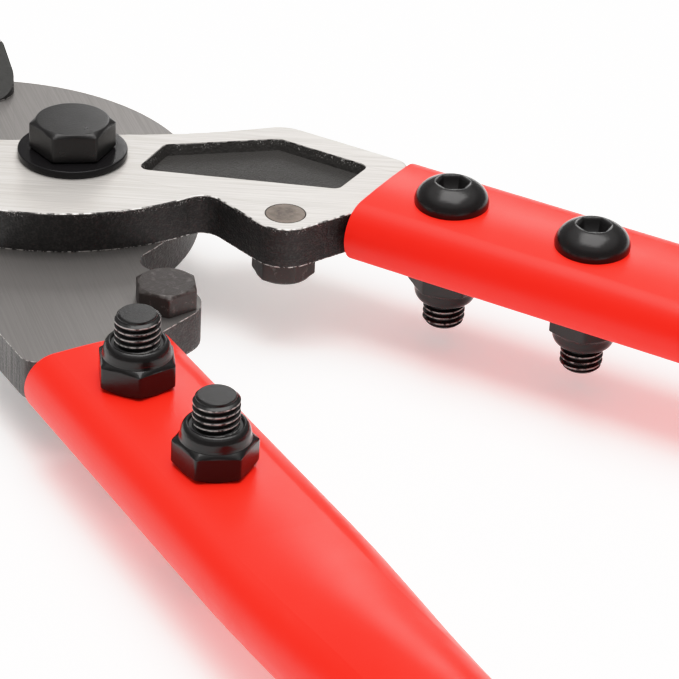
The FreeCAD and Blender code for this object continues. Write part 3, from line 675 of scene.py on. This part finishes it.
@dataclass
class Turned:
    """A turned shape about an upright axis, with a hexagon where one is asked for.

    Attributes:
        rows: (radius, height) from one pole to the other, or round a closed section.
        flats: width over the outer hexagon, or None for a plain turned shape.
        turn: the angle of one hexagon corner, in radians.
        socket_rows: how many of the last rows are an inner hexagon instead of a circle.
        ring: True for a closed section with a bore, False for a shape with two poles.
        sides: how many points go round.
        corner_round: how round the hexagon's corners are.
        blend: how softly the circle and the hexagon meet.
    """

    rows: list[Row]
    flats: float | None = None
    turn: float = 0.0
    socket_rows: int = 0
    ring: bool = False
    sides: int = 168
    corner_round: float = 0.35 * MM
    blend: float = 0.18 * MM

    def hexagon(self, angles: np.ndarray, flats: float, rounding: float) -> np.ndarray:
        """The reach of a hexagon with rounded corners at each angle."""
        half = flats / 2
        off = np.abs((angles - self.turn + math.pi / 6) % (math.pi / 3) - math.pi / 6)
        flat = half / np.cos(math.pi / 6 - off)
        centre = (half - rounding) / math.cos(math.pi / 6)
        arc = centre * np.cos(off) + np.sqrt(np.maximum(rounding ** 2 - (centre * np.sin(off)) ** 2, 0.0))
        return np.where(centre * np.sin(off) < rounding * math.sin(math.pi / 6), arc, flat)

    def grid(self) -> np.ndarray:
        """Every row's points, as an array of rows by sides by three."""
        angles = np.arange(self.sides) / self.sides * 2 * math.pi + self.turn
        out = []
        for number, (radius, height) in enumerate(self.rows):
            reach = np.full(self.sides, radius)
            if number >= len(self.rows) - self.socket_rows:
                reach = self.hexagon(angles, 2 * radius, 0.1 * MM)
            elif self.flats is not None:
                hexed = self.hexagon(angles, self.flats, self.corner_round)
                reach = 0.5 * (hexed + radius - np.sqrt((hexed - radius) ** 2 + self.blend ** 2))
            out.append(np.stack([reach * np.cos(angles), reach * np.sin(angles),
                                 np.full(self.sides, height)], 1))
        return np.array(out)

    def build(self, up: float = 1.0) -> Shell:
        """Make the points and faces.

        Args:
            up: +1 as drawn, or -1 turned over end for end.

        Returns:
            The points, and the faces as places in them.
        """
        rows = self.grid()
        count, sides = rows.shape[:2]
        points = rows.reshape(-1, 3)
        faces = []
        last = count if self.ring else count - 1
        for row in range(last):
            above = (row + 1) % count
            for side in range(sides):
                beside = (side + 1) % sides
                faces.append((row * sides + side, row * sides + beside,
                              above * sides + beside, above * sides + side))
        if not self.ring:
            points = np.vstack([points, [[0, 0, self.rows[0][1]], [0, 0, self.rows[-1][1]]]])
            low, high = len(points) - 2, len(points) - 1
            for side in range(sides):
                beside = (side + 1) % sides
                faces.append((low, beside, side))
                faces.append((high, (count - 1) * sides + side, (count - 1) * sides + beside))
        if up < 0:
            points = points * UNDERSIDE_UP
        return points, faces


class ThreadMaker:
    """Cuts real screw threads with a geometry node tree, one tree for every bolt."""

    def __init__(self) -> None:
        """Build the tree and remember its inputs."""
        self.tree = bpy.data.node_groups.new("screw_thread", "GeometryNodeTree")
        self.inputs: dict[str, str] = {}
        face = self.tree.interface
        for name, kind in (("Radius", "Float"), ("Pitch", "Float"), ("Depth", "Float"), ("Length", "Float"),
                           ("End Radius", "Float"), ("Sides", "Int"), ("Rows", "Int"),
                           ("Material", "Material")):
            made = face.new_socket(name=name, in_out="INPUT", socket_type="NodeSocket" + kind)
            self.inputs[name] = made.identifier
        face.new_socket(name="Geometry", in_out="OUTPUT", socket_type="NodeSocketGeometry")
        self._fill()

    def _node(self, kind: str, values: dict[Any, Any] | None = None, **settings: Any) -> Node:
        """Add one node with its settings and inputs."""
        node = self.tree.nodes.new(kind)
        for name, value in settings.items():
            setattr(node, name, value)
        for key, value in (values or {}).items():
            if isinstance(value, Socket):
                self.tree.links.new(value, node.inputs[key])
            else:
                node.inputs[key].default_value = value
        return node

    def _math(self, operation: str, first: Any, second: Any = 0.0, third: Any = 0.0) -> Socket:
        """One sum on numbers."""
        return self._node("ShaderNodeMath", {0: first, 1: second, 2: third}, operation=operation).outputs[0]

    def _fill(self) -> None:
        """Wrap a grid round the axis and cut the helix into it, with a chamfer at each end."""
        given = self._node("NodeGroupInput").outputs
        around = self._math("ADD", given["Sides"], 1.0)
        grid = self._node("GeometryNodeMeshGrid", {"Size X": 1.0, "Size Y": 1.0, "Vertices X": around,
                                                   "Vertices Y": given["Rows"]}).outputs["Mesh"]
        start = self._node("GeometryNodeInputPosition").outputs[0]
        at = self._node("ShaderNodeSeparateXYZ", {0: start}).outputs
        share = self._math("ADD", at[0], 0.5)
        height = self._math("MULTIPLY", self._math("ADD", at[1], 0.5), given["Length"])
        turns = self._math("DIVIDE", height, given["Pitch"])
        phase = self._math("FRACT", self._math("SUBTRACT", turns, share))
        ridge = self._math("ABSOLUTE", self._math("MULTIPLY_ADD", phase, 2.0, -1.0))
        groove = self._node("ShaderNodeMapRange", {"Value": ridge, "From Min": 0.12, "From Max": 0.86},
                            interpolation_type="SMOOTHSTEP").outputs["Result"]
        crest = self._math("SUBTRACT", given["Radius"], self._math("MULTIPLY", groove, given["Depth"]))
        from_top = self._math("SUBTRACT", given["Length"], height)
        end_room = self._math("MINIMUM", height, from_top)
        cone = self._math("ADD", given["End Radius"], end_room)
        reach = self._math("SMOOTH_MIN", crest, cone, 0.0)
        turn = self._math("MULTIPLY", share, 2 * math.pi)
        across, along = (self._math("MULTIPLY", reach, self._math(way, turn)) for way in ("COSINE", "SINE"))
        spot = self._node("ShaderNodeCombineXYZ", {0: across, 1: along, 2: height}).outputs[0]
        skin = self._node("GeometryNodeSetPosition", {"Geometry": grid, "Position": spot}).outputs[0]
        caps = []
        for level in (0.0, given["Length"]):
            disc = self._node("GeometryNodeMeshCircle", {"Vertices": given["Sides"],
                                                         "Radius": given["End Radius"]}, fill_type="NGON")
            rise = self._node("ShaderNodeCombineXYZ", {2: level}).outputs[0]
            caps.append(self._node("GeometryNodeTransform", {"Geometry": disc.outputs[0],
                                                             "Translation": rise}).outputs[0])
        caps[0] = self._node("GeometryNodeFlipFaces", {0: caps[0]}).outputs[0]
        joined = self._node("GeometryNodeJoinGeometry")
        for part in (skin, *caps):
            self.tree.links.new(part, joined.inputs[0])
        made = joined.outputs[0]
        for kind, values in (("MergeByDistance", {"Distance": 1e-6}), ("SetShadeSmooth", {}),
                             ("RealizeInstances", {}), ("SetMaterial", {"Material": given["Material"]})):
            made = self._node("GeometryNode" + kind, {"Geometry": made, **values}).outputs[0]
        self.tree.links.new(made, self._node("NodeGroupOutput").inputs[0])

    def cut(self, values: dict[str, Any]) -> bpy.types.Mesh:
        """Cut one thread.

        Args:
            values: the tree's inputs, by name.

        Returns:
            A plain mesh, from height 0 up.
        """
        blank = bpy.data.objects.new("thread_blank", bpy.data.meshes.new("thread_blank"))
        bpy.context.scene.collection.objects.link(blank)
        modifier = blank.modifiers.new("thread", "NODES")
        modifier.node_group = self.tree
        for name, value in values.items():
            modifier[self.inputs[name]] = value
        bpy.context.view_layer.update()
        evaluated = blank.evaluated_get(bpy.context.evaluated_depsgraph_get())
        mesh = bpy.data.meshes.new_from_object(evaluated)
        blank.modifiers.clear()
        bpy.data.objects.remove(blank)
        return mesh


# ---------------------------------------------------------------- the workshop


@dataclass
class Workshop:
    """What the sub-assemblies share: the effects and the thread maker."""

    shared: SharedEffects = field(default_factory=SharedEffects)
    threads: ThreadMaker = field(default_factory=ThreadMaker)

    def dress(self, node: str, finish: Finish) -> None:
        """Give a CAD node its finish."""
        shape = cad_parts[node]
        shape.data.materials.clear()
        shape.data.materials.append(finish.material(self.shared))
        LOG.info("dressed %s in %s", node, finish.name)

    def thread(self, finish: Finish, radius: float, pitch: float, depth: float, length: float,
               end_radius: float) -> bpy.types.Mesh:
        """Cut one thread in its finish, from height 0 up."""
        return self.threads.cut({"Radius": radius, "Pitch": pitch, "Depth": depth, "Length": length,
                                 "End Radius": end_radius, "Sides": THREAD_SIDES, "Rows": THREAD_ROWS,
                                 "Material": finish.material(self.shared)})

    def stand_in(self, name: str, parts: list[Shell], node: str,
                 finish: Finish, body: str) -> bpy.types.Object:
        """Make one piece that stands for a CAD node.

        Args:
            name: the piece's name.
            parts: points and faces of each closed shell, already in place.
            node: the CAD node it stands for.
            finish: what it is dressed in.
            body: the body it rides on.

        Returns:
            The finished piece.
        """
        points: list[np.ndarray] = []
        faces: Faces = []
        start = 0
        for shell_points, shell_faces in parts:
            points.append(shell_points)
            faces += [tuple(start + place for place in face) for face in shell_faces]
            start += len(shell_points)
        mesh = mesh_from(name, np.vstack(points), faces)
        mesh.materials.append(finish.material(self.shared))
        piece = bpy.data.objects.new(name, mesh)
        bpy.context.scene.collection.objects.link(piece)
        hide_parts(node)
        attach(piece, body)
        LOG.info("built %s with %d faces for %s", name, len(faces), node)
        return piece


def moved(shell: Shell, place: Vector) -> Shell:
    """A shell moved to its place."""
    points, faces = shell
    return points + np.array(place), faces


def plain(mesh: bpy.types.Mesh, up: float) -> Shell:
    """A mesh's points and faces, turned over if up is -1."""
    points = np.array([vertex.co for vertex in mesh.vertices], float)
    if up < 0:
        points = points * UNDERSIDE_UP
    return points, [tuple(face.vertices) for face in mesh.polygons]


# ---------------------------------------------------------------- sub-assemblies


@dataclass
class HandleBolt:
    """A button-head bolt with a hexagon socket and a threaded end.

    Attributes:
        node: the CAD node it stands for.
        side: the half it belongs to.
        depth: how deep its thread is cut.
        end_radius: radius of the thread's chamfered ends.
        crown_radius: radius of the flat round the socket.
        rim: how high the head's upright rim is.
        foot: how far the head reaches into the coat under it.
        socket_half: half the socket's width over its flats.
        socket_turn: the angle of one socket corner, in radians.
    """

    node: str
    side: Side
    thread_radius: float = 5.0 * MM
    pitch: float = 1.5 * MM
    depth: float = 0.86 * MM
    thread_length: float = 12.0 * MM
    end_radius: float = 3.95 * MM
    head_radius: float = 8.75 * MM
    head_height: float = 5.5 * MM
    crown_radius: float = 4.25 * MM
    rim: float = 0.9 * MM
    foot: float = -0.45 * MM
    dome_steps: int = 14
    socket_half: float = 3.0 * MM
    socket_depth: float = 3.2 * MM
    socket_turn: float = 0.35

    def head_rows(self) -> list[Row]:
        """The shank and button head, from the shank's end to the socket's floor."""
        height = self.head_height
        shank = self.thread_radius - self.depth
        low = -(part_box(self.node)[1].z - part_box(self.node)[0].z - height - self.thread_length + MM)
        outline = soften([(shank, low), (shank, self.foot), (self.head_radius - 0.15 * MM, self.foot),
                          (self.head_radius, self.rim)], 0.15 * MM)
        ends = ((self.head_radius, self.rim), (self.head_radius - 0.35 * MM, 0.72 * height),
                (self.crown_radius, height))
        for step in range(1, self.dome_steps + 1):
            share = step / self.dome_steps
            weights = ((1 - share) ** 2, 2 * share * (1 - share), share ** 2)
            outline.append(tuple(sum(weight * end[axis] for weight, end in zip(weights, ends))
                                 for axis in (0, 1)))
        return outline

    def socket(self) -> list[Row]:
        """The key socket's rows."""
        height = self.head_height
        half = self.socket_half
        floor = height - self.socket_depth
        return [(half + 0.52 * MM, height - 0.02 * MM), (half + 0.44 * MM, height - 0.1 * MM),
                (half, height - 0.55 * MM), (half, floor), (0.5 * half, floor - 0.5 * MM),
                (0.02 * MM, floor - 0.9 * MM)]

    def build(self, shop: Workshop, finish: Finish) -> None:
        """Build the bolt and put it on its half."""
        low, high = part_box(self.node)
        centre = node_axis(self.node)
        out = self.side.outward
        seat = high.z - self.head_height if out > 0 else low.z + self.head_height
        rows = self.head_rows() + self.socket()
        head = Turned(rows, turn=self.socket_turn, socket_rows=len(self.socket()), sides=144).build(out)
        thread = shop.thread(finish, self.thread_radius, self.pitch, self.depth, self.thread_length,
                             self.end_radius)
        end = low.z + self.thread_length if out > 0 else high.z - self.thread_length
        parts = [moved(head, Vector((centre.x, centre.y, seat))),
                 moved(plain(thread, -out), Vector((centre.x, centre.y, end)))]
        shop.stand_in(self.node + "_turned", parts, self.node, finish, self.side.body)


@dataclass
class LockNut:
    """A hexagon lock nut with a rolled collar over its ring.

    Attributes:
        node: the CAD node it stands for.
        body: the body it rides on.
        up: +1 with its collar above, -1 below.
        lip: how far the rolled collar reaches in over the ring.
    """

    node: str
    body: str
    up: float
    flats: float
    bore: float
    collar_height: float = 3.4 * MM
    collar_share: float = 0.93
    lip: float = 1.74 * MM

    def rows(self, height: float) -> list[Row]:
        """The nut's closed section, from its bore round its outside and back."""
        half = self.flats / 2
        corner = self.flats / math.sqrt(3)
        face = FACE_SHARE * half
        rise = (corner - face) * CHAMFER
        shoulder = height - self.collar_height
        collar = self.collar_share * half
        lip = self.lip
        seat = collar - lip
        ledge = height - 2.4 * MM
        outline = [
            (self.bore, 0.0), (face, 0.0), (corner, rise), (corner, shoulder - rise), (face, shoulder),
            (collar + 0.1 * MM, shoulder + 0.25 * MM), (collar, shoulder + 0.7 * MM),
            (collar, height - 1.5 * lip), (collar - 0.10 * lip, height - 0.85 * lip),
            (collar - 0.30 * lip, height - 0.38 * lip), (collar - 0.55 * lip, height - 0.10 * lip),
            (collar - 0.82 * lip, height),
            (seat, height - 0.12 * lip), (seat - 0.15 * MM, height - 0.5 * MM), (seat, height - 1.0 * MM),
            (seat, ledge), (self.bore, ledge), (self.bore, 0.0),
        ]
        return soften(outline, 0.25 * MM)[:-1]

    def build(self, shop: Workshop, finish: Finish) -> None:
        """Build the nut on its body."""
        low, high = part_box(self.node)
        centre = node_axis(self.node)
        height = high.z - low.z
        turn = corner_turn(self.node) * self.up
        shell = Turned(self.rows(height), flats=self.flats, turn=turn, ring=True, sides=180).build(self.up)
        base = low.z if self.up > 0 else high.z
        parts = [moved(shell, Vector((centre.x, centre.y, base)))]
        shop.stand_in(self.node + "_turned", parts, self.node, finish, self.body)


@dataclass
class HexBolt:
    """A hexagon bolt's head and shank.

    Attributes:
        node: the CAD node it stands for.
        up: +1 with its head above, -1 below.
        washer_face: height of the round face under the head, or 0 for none.
        thread_length: length of the cut thread at its far end, or 0 for a plain shank.
        end_inset: how far the thread's chamfered ends draw in.
        core_inset: how much thinner the shank is behind its thread.
    """

    node: str
    body: str
    slot: str
    up: float
    flats: float
    head_height: float
    shank_radius: float
    washer_face: float = 0.0
    thread_length: float = 0.0
    pitch: float = 1.75 * MM
    depth: float = 1.0 * MM
    end_inset: float = 1.1 * MM
    core_inset: float = 0.9 * MM

    def rows(self, length: float) -> list[Row]:
        """The bolt from the far end of its plain shank to the middle of its head."""
        corner = self.flats / math.sqrt(3)
        face = FACE_SHARE * self.flats / 2
        rise = (corner - face) * CHAMFER
        shank = self.shank_radius - (self.core_inset if self.thread_length else 0.0)
        start = -(length - self.head_height) + (self.thread_length - MM if self.thread_length else 0.0)
        outline = [(0.3 * shank, start), (shank, start), (shank, 0.0)]
        if self.washer_face:
            outline += [(face, 0.0), (face, self.washer_face)]
        outline += [(corner, self.washer_face), (corner, self.head_height - rise), (face, self.head_height),
                    (0.3 * face, self.head_height)]
        return soften(outline, 0.22 * MM, 5)

    def build(self, shop: Workshop, finish: Finish) -> None:
        """Build the bolt on its body."""
        low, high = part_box(self.node)
        centre = node_axis(self.node)
        length = high.z - low.z
        turn = corner_turn(self.node) * self.up
        shell = Turned(self.rows(length), flats=self.flats, turn=turn, sides=180).build(self.up)
        seat = high.z - self.head_height if self.up > 0 else low.z + self.head_height
        parts = [moved(shell, Vector((centre.x, centre.y, seat)))]
        if self.thread_length:
            thread = shop.thread(finish, self.shank_radius, self.pitch, self.depth, self.thread_length,
                                 self.shank_radius - self.end_inset)
            end = low.z + self.thread_length if self.up > 0 else high.z - self.thread_length
            parts.append(moved(plain(thread, -self.up), Vector((centre.x, centre.y, end))))
        shop.stand_in(self.node + "_turned", parts, self.node, finish, self.body)


@dataclass
class Washer:
    """A broad flat washer with soft rims."""

    node: str
    bore: float = 6.4 * MM
    rim_round: float = 0.38 * MM
    body: str = "lower_half"

    def build(self, shop: Workshop, finish: Finish) -> None:
        """Build the washer under or over the arms."""
        low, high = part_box(self.node)
        centre = node_axis(self.node)
        thick = high.z - low.z
        outer = (high.x - low.x) / 2
        middle = (self.bore + outer) / 2
        rows = soften([(middle, 0.0), (outer, 0.0), (outer, thick), (self.bore, thick), (self.bore, 0.0),
                       (middle, 0.0)], self.rim_round, 6)[:-1]
        shell = Turned(rows, ring=True, sides=160).build()
        parts = [moved(shell, Vector((centre.x, centre.y, low.z)))]
        shop.stand_in(self.node + "_turned", parts, self.node, finish, self.body)


@dataclass
class PivotSet:
    """The main bolt with its washers, lock nut and ring."""

    flats: float = 18.0 * MM
    head_height: float = 7.5 * MM
    shank_radius: float = 6.0 * MM

    def build(self, shop: Workshop) -> None:
        """Build and dress the pivot."""
        oxide = BlackOxide(name="pivot_oxide", roughness=0.30, specular=0.33, rubbed_amount=0.25)
        HexBolt("pivot_bolt", "lower_half", "black_fastener", 1.0, self.flats, self.head_height,
                self.shank_radius, washer_face=0.5 * MM, thread_length=15.0 * MM).build(shop, oxide)
        LockNut("pivot_nut", "lower_half", -1.0, self.flats, self.shank_radius + NUT_GAP).build(shop, oxide)
        gloss = BlackOxide(name="washer_black", roughness=0.15, specular=0.12, colour=(0.007, 0.0065, 0.007),
                           rubbed_amount=0.15)
        for node in ("pivot_washer_top", "pivot_washer_bottom"):
            Washer(node).build(shop, gloss)
        shop.dress("pivot_nut_ring", Moulded("nylon_ring", NYLON, 0.5, 0.01 * MM))


@dataclass
class Half:
    """One half of the tool: arm, stop bolt, tube, grip and handle fasteners.

    Attributes:
        side: which half it is.
        throat: how far the round throat's middle is from the pivot, sideways and ahead.
    """

    side: Side
    nut_flats: float = 16.0 * MM
    bolt_radius: float = 5.0 * MM
    stop_flats: float = 13.2 * MM
    stop_head: float = 5.4 * MM
    stop_radius: float = 4.8 * MM
    throat: tuple[float, float] = (11.23 * MM, 36.75 * MM)

    def arm_finish(self) -> ForgedArm:
        """The arm's finish: bright on the upper arm, greyer on the lower."""
        low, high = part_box(self.side.value + "_jaw_arm")
        thick = high.z - low.z
        throat = (self.side.outward * self.throat[0], self.throat[1], 0.0)
        if self.side is Side.UPPER:
            return ForgedArm("upper_arm_steel", high.z, thick, throat_centre=throat,
                             ground=(0.665, 0.645, 0.622), ground_dark=(0.46, 0.44, 0.418),
                             scale_skin=(0.004, 0.0036, 0.0036), scale_speck=(0.032, 0.029, 0.027),
                             streak_turn=-47.0, scratch_turn=-62.0, ground_roughness=0.58,
                             streak_share=0.6)
        # the lower arm gets painted shade round the pivot, under the upper arm
        return ForgedArm("lower_arm_steel", low.z, thick, throat_centre=throat, ground=(0.275, 0.262, 0.253),
                         ground_dark=(0.18, 0.171, 0.165), scale_skin=(0.011, 0.0102, 0.0097),
                         scale_speck=(0.055, 0.052, 0.05), streak_turn=-117.0, scratch_turn=-128.0,
                         ground_roughness=0.48, streak_share=0.34, pale_side=-1.0, shade_radius=23.0 * MM)

    def build(self, shop: Workshop) -> None:
        """Build and dress this half."""
        name = self.side.value
        out = self.side.outward
        shop.dress(name + "_jaw_arm", self.arm_finish())
        low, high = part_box(name + "_stop_bolt")
        centre = node_axis(name + "_stop_bolt")
        stop = WornStop(name + "_stop_skin", high.z if out > 0 else low.z, (centre.x, centre.y, 0.0))
        HexBolt(name + "_stop_bolt", self.side.body, "stop_bolt", -out, self.stop_flats, self.stop_head,
                self.stop_radius).build(shop, stop)
        front, rear = node_axis(name + "_front_bolt"), node_axis(name + "_rear_bolt")
        along = math.degrees(math.atan2(rear.y - front.y, rear.x - front.x))
        shop.dress(name + "_handle_tube", PowderCoat(name + "_powder_coat", (rear.x, rear.y), along))
        shop.dress(name + "_grip", Moulded("grip_rubber", (0.018, 0.018, 0.019), 0.62, 0.05 * MM))
        oxide = BlackOxide(name + "_oxide", axes=((front.x, front.y, 0.0), (rear.x, rear.y, 0.0)))
        for end in ("front", "rear"):
            HandleBolt(f"{name}_{end}_bolt", self.side).build(shop, oxide)
            LockNut(f"{name}_{end}_nut", self.side.body, -out, self.nut_flats,
                    self.bolt_radius + NUT_GAP).build(shop, oxide)
            shop.dress(f"{name}_{end}_nut_ring", Moulded("nylon_ring", NYLON, 0.5, 0.01 * MM))


@dataclass(frozen=True)
class SoftLight:
    """One soft square light."""

    name: str
    place: Spot
    aim: Spot
    size: float
    power: float
    tint: Colour

    def hang(self) -> None:
        """Hang the light and turn it to what it lights."""
        lamp = bpy.data.lights.new(self.name, "AREA")
        lamp.shape = "SQUARE"
        lamp.size = self.size
        lamp.energy = self.power
        lamp.color = self.tint
        holder = bpy.data.objects.new(self.name, lamp)
        holder.location = self.place
        holder.rotation_euler = (Vector(self.place) - Vector(self.aim)).to_track_quat("Z", "Y").to_euler()
        bpy.context.scene.collection.objects.link(holder)


@dataclass
class Studio:
    """The floor, the lights and the camera.

    Attributes:
        azimuth: which way the camera looks from, in degrees about the upright axis.
        elevation: how high it looks from, in degrees.
        roll: how far it is tilted, in degrees.
        wall_glow: strength of the surround near the floor.
        ceiling_glow: strength of the surround overhead.
    """

    floor_size: float = 24.0
    camera_place: Spot = (-0.42082, -0.49525, 0.36598)
    azimuth: float = -46.171
    elevation: float = 30.322
    roll: float = 3.049
    lens: float = 161.325
    wall_glow: float = 0.27
    ceiling_glow: float = 1.0

    def lay_floor(self, shop: Workshop) -> None:
        """Lay the pale sweep under the tool."""
        half = self.floor_size / 2
        corners = np.array([[-half, -half, 0.0], [half, -half, 0.0], [half, half, 0.0], [-half, half, 0.0]])
        mesh = mesh_from("studio_floor", corners, [(0, 1, 2, 3)])
        mesh.materials.append(StudioFloor().material(shop.shared))
        floor = bpy.data.objects.new("studio_floor", mesh)
        bpy.context.scene.collection.objects.link(floor)

    def hang_lights(self) -> None:
        """Light the room softly from straight above, with a surround that darkens toward its walls."""
        world = bpy.data.worlds.new("studio")
        world.use_nodes = True
        graph = Graph(world.node_tree)
        rise = graph.add("SeparateXYZ", {0: graph.add("TexCoord").outputs["Generated"]}).outputs[2]
        glow = graph.blend(graph.ease(rise, 0.45, 0.8), self.wall_glow, self.ceiling_glow)
        sky = world.node_tree.nodes["Background"]
        sky.inputs["Color"].default_value = (1.0, 0.985, 0.975, 1.0)
        graph.feed(sky.inputs["Strength"], glow)
        bpy.context.scene.world = world
        SoftLight("overhead", place=(0.05, -0.1, 1.6), aim=(0.0, -0.12, 0.0), size=1.35, power=28.0,
                  tint=(1.0, 0.985, 0.97)).hang()
        SoftLight("back", place=(1.82, 1.45, 1.02), aim=(0.0, -0.1, 0.02), size=0.7, power=6.5,
                  tint=(1.0, 0.99, 0.98)).hang()

    def set_exposure(self) -> None:
        """Keep the pale floor from washing out: bright values bend softly toward white."""
        view = bpy.context.scene.view_settings
        view.view_transform = "Standard"
        view.use_curve_mapping = True
        view.curve_mapping.white_level = (2.4, 2.4, 2.4)
        curve = view.curve_mapping.curves[3]
        for place, value in ((0.25, 0.6), (0.3333, 0.775), (0.4167, 0.89), (0.58, 0.965)):
            curve.points.new(place, value)
        curve.points[-1].location = (1.0, 0.995)
        view.curve_mapping.update()

    def set_camera(self) -> None:
        """Set the camera where the tool is looked at from, over its left handle."""
        turn, rise, tilt = (math.radians(angle) for angle in (self.azimuth, self.elevation, self.roll))
        back = Vector((math.sin(turn) * math.cos(rise), -math.cos(turn) * math.cos(rise), math.sin(rise)))
        right = Vector((math.cos(turn), math.sin(turn), 0.0))
        up = back.cross(right)
        level = Matrix((right, up, back)).transposed()
        lens = bpy.data.cameras.new("camera")
        lens.lens = self.lens
        lens.clip_start = 0.01
        camera = bpy.data.objects.new("camera", lens)
        turned = level @ Matrix.Rotation(tilt, 3, "Z")
        camera.matrix_world = Matrix.Translation(self.camera_place) @ turned.to_4x4()
        bpy.context.scene.collection.objects.link(camera)
        bpy.context.scene.camera = camera

    def build(self, shop: Workshop) -> None:
        """Set up the whole studio."""
        self.lay_floor(shop)
        self.hang_lights()
        self.set_camera()
        self.set_exposure()


def main() -> None:
    """Build every sub-assembly and the studio."""
    logging.basicConfig(level=logging.INFO, format="%(name)s: %(message)s")
    shop = Workshop()
    PivotSet().build(shop)
    for side in Side:
        Half(side).build(shop)
    Studio().build(shop)
    bpy.context.view_layer.update()


if __name__ == "__main__":
    main()
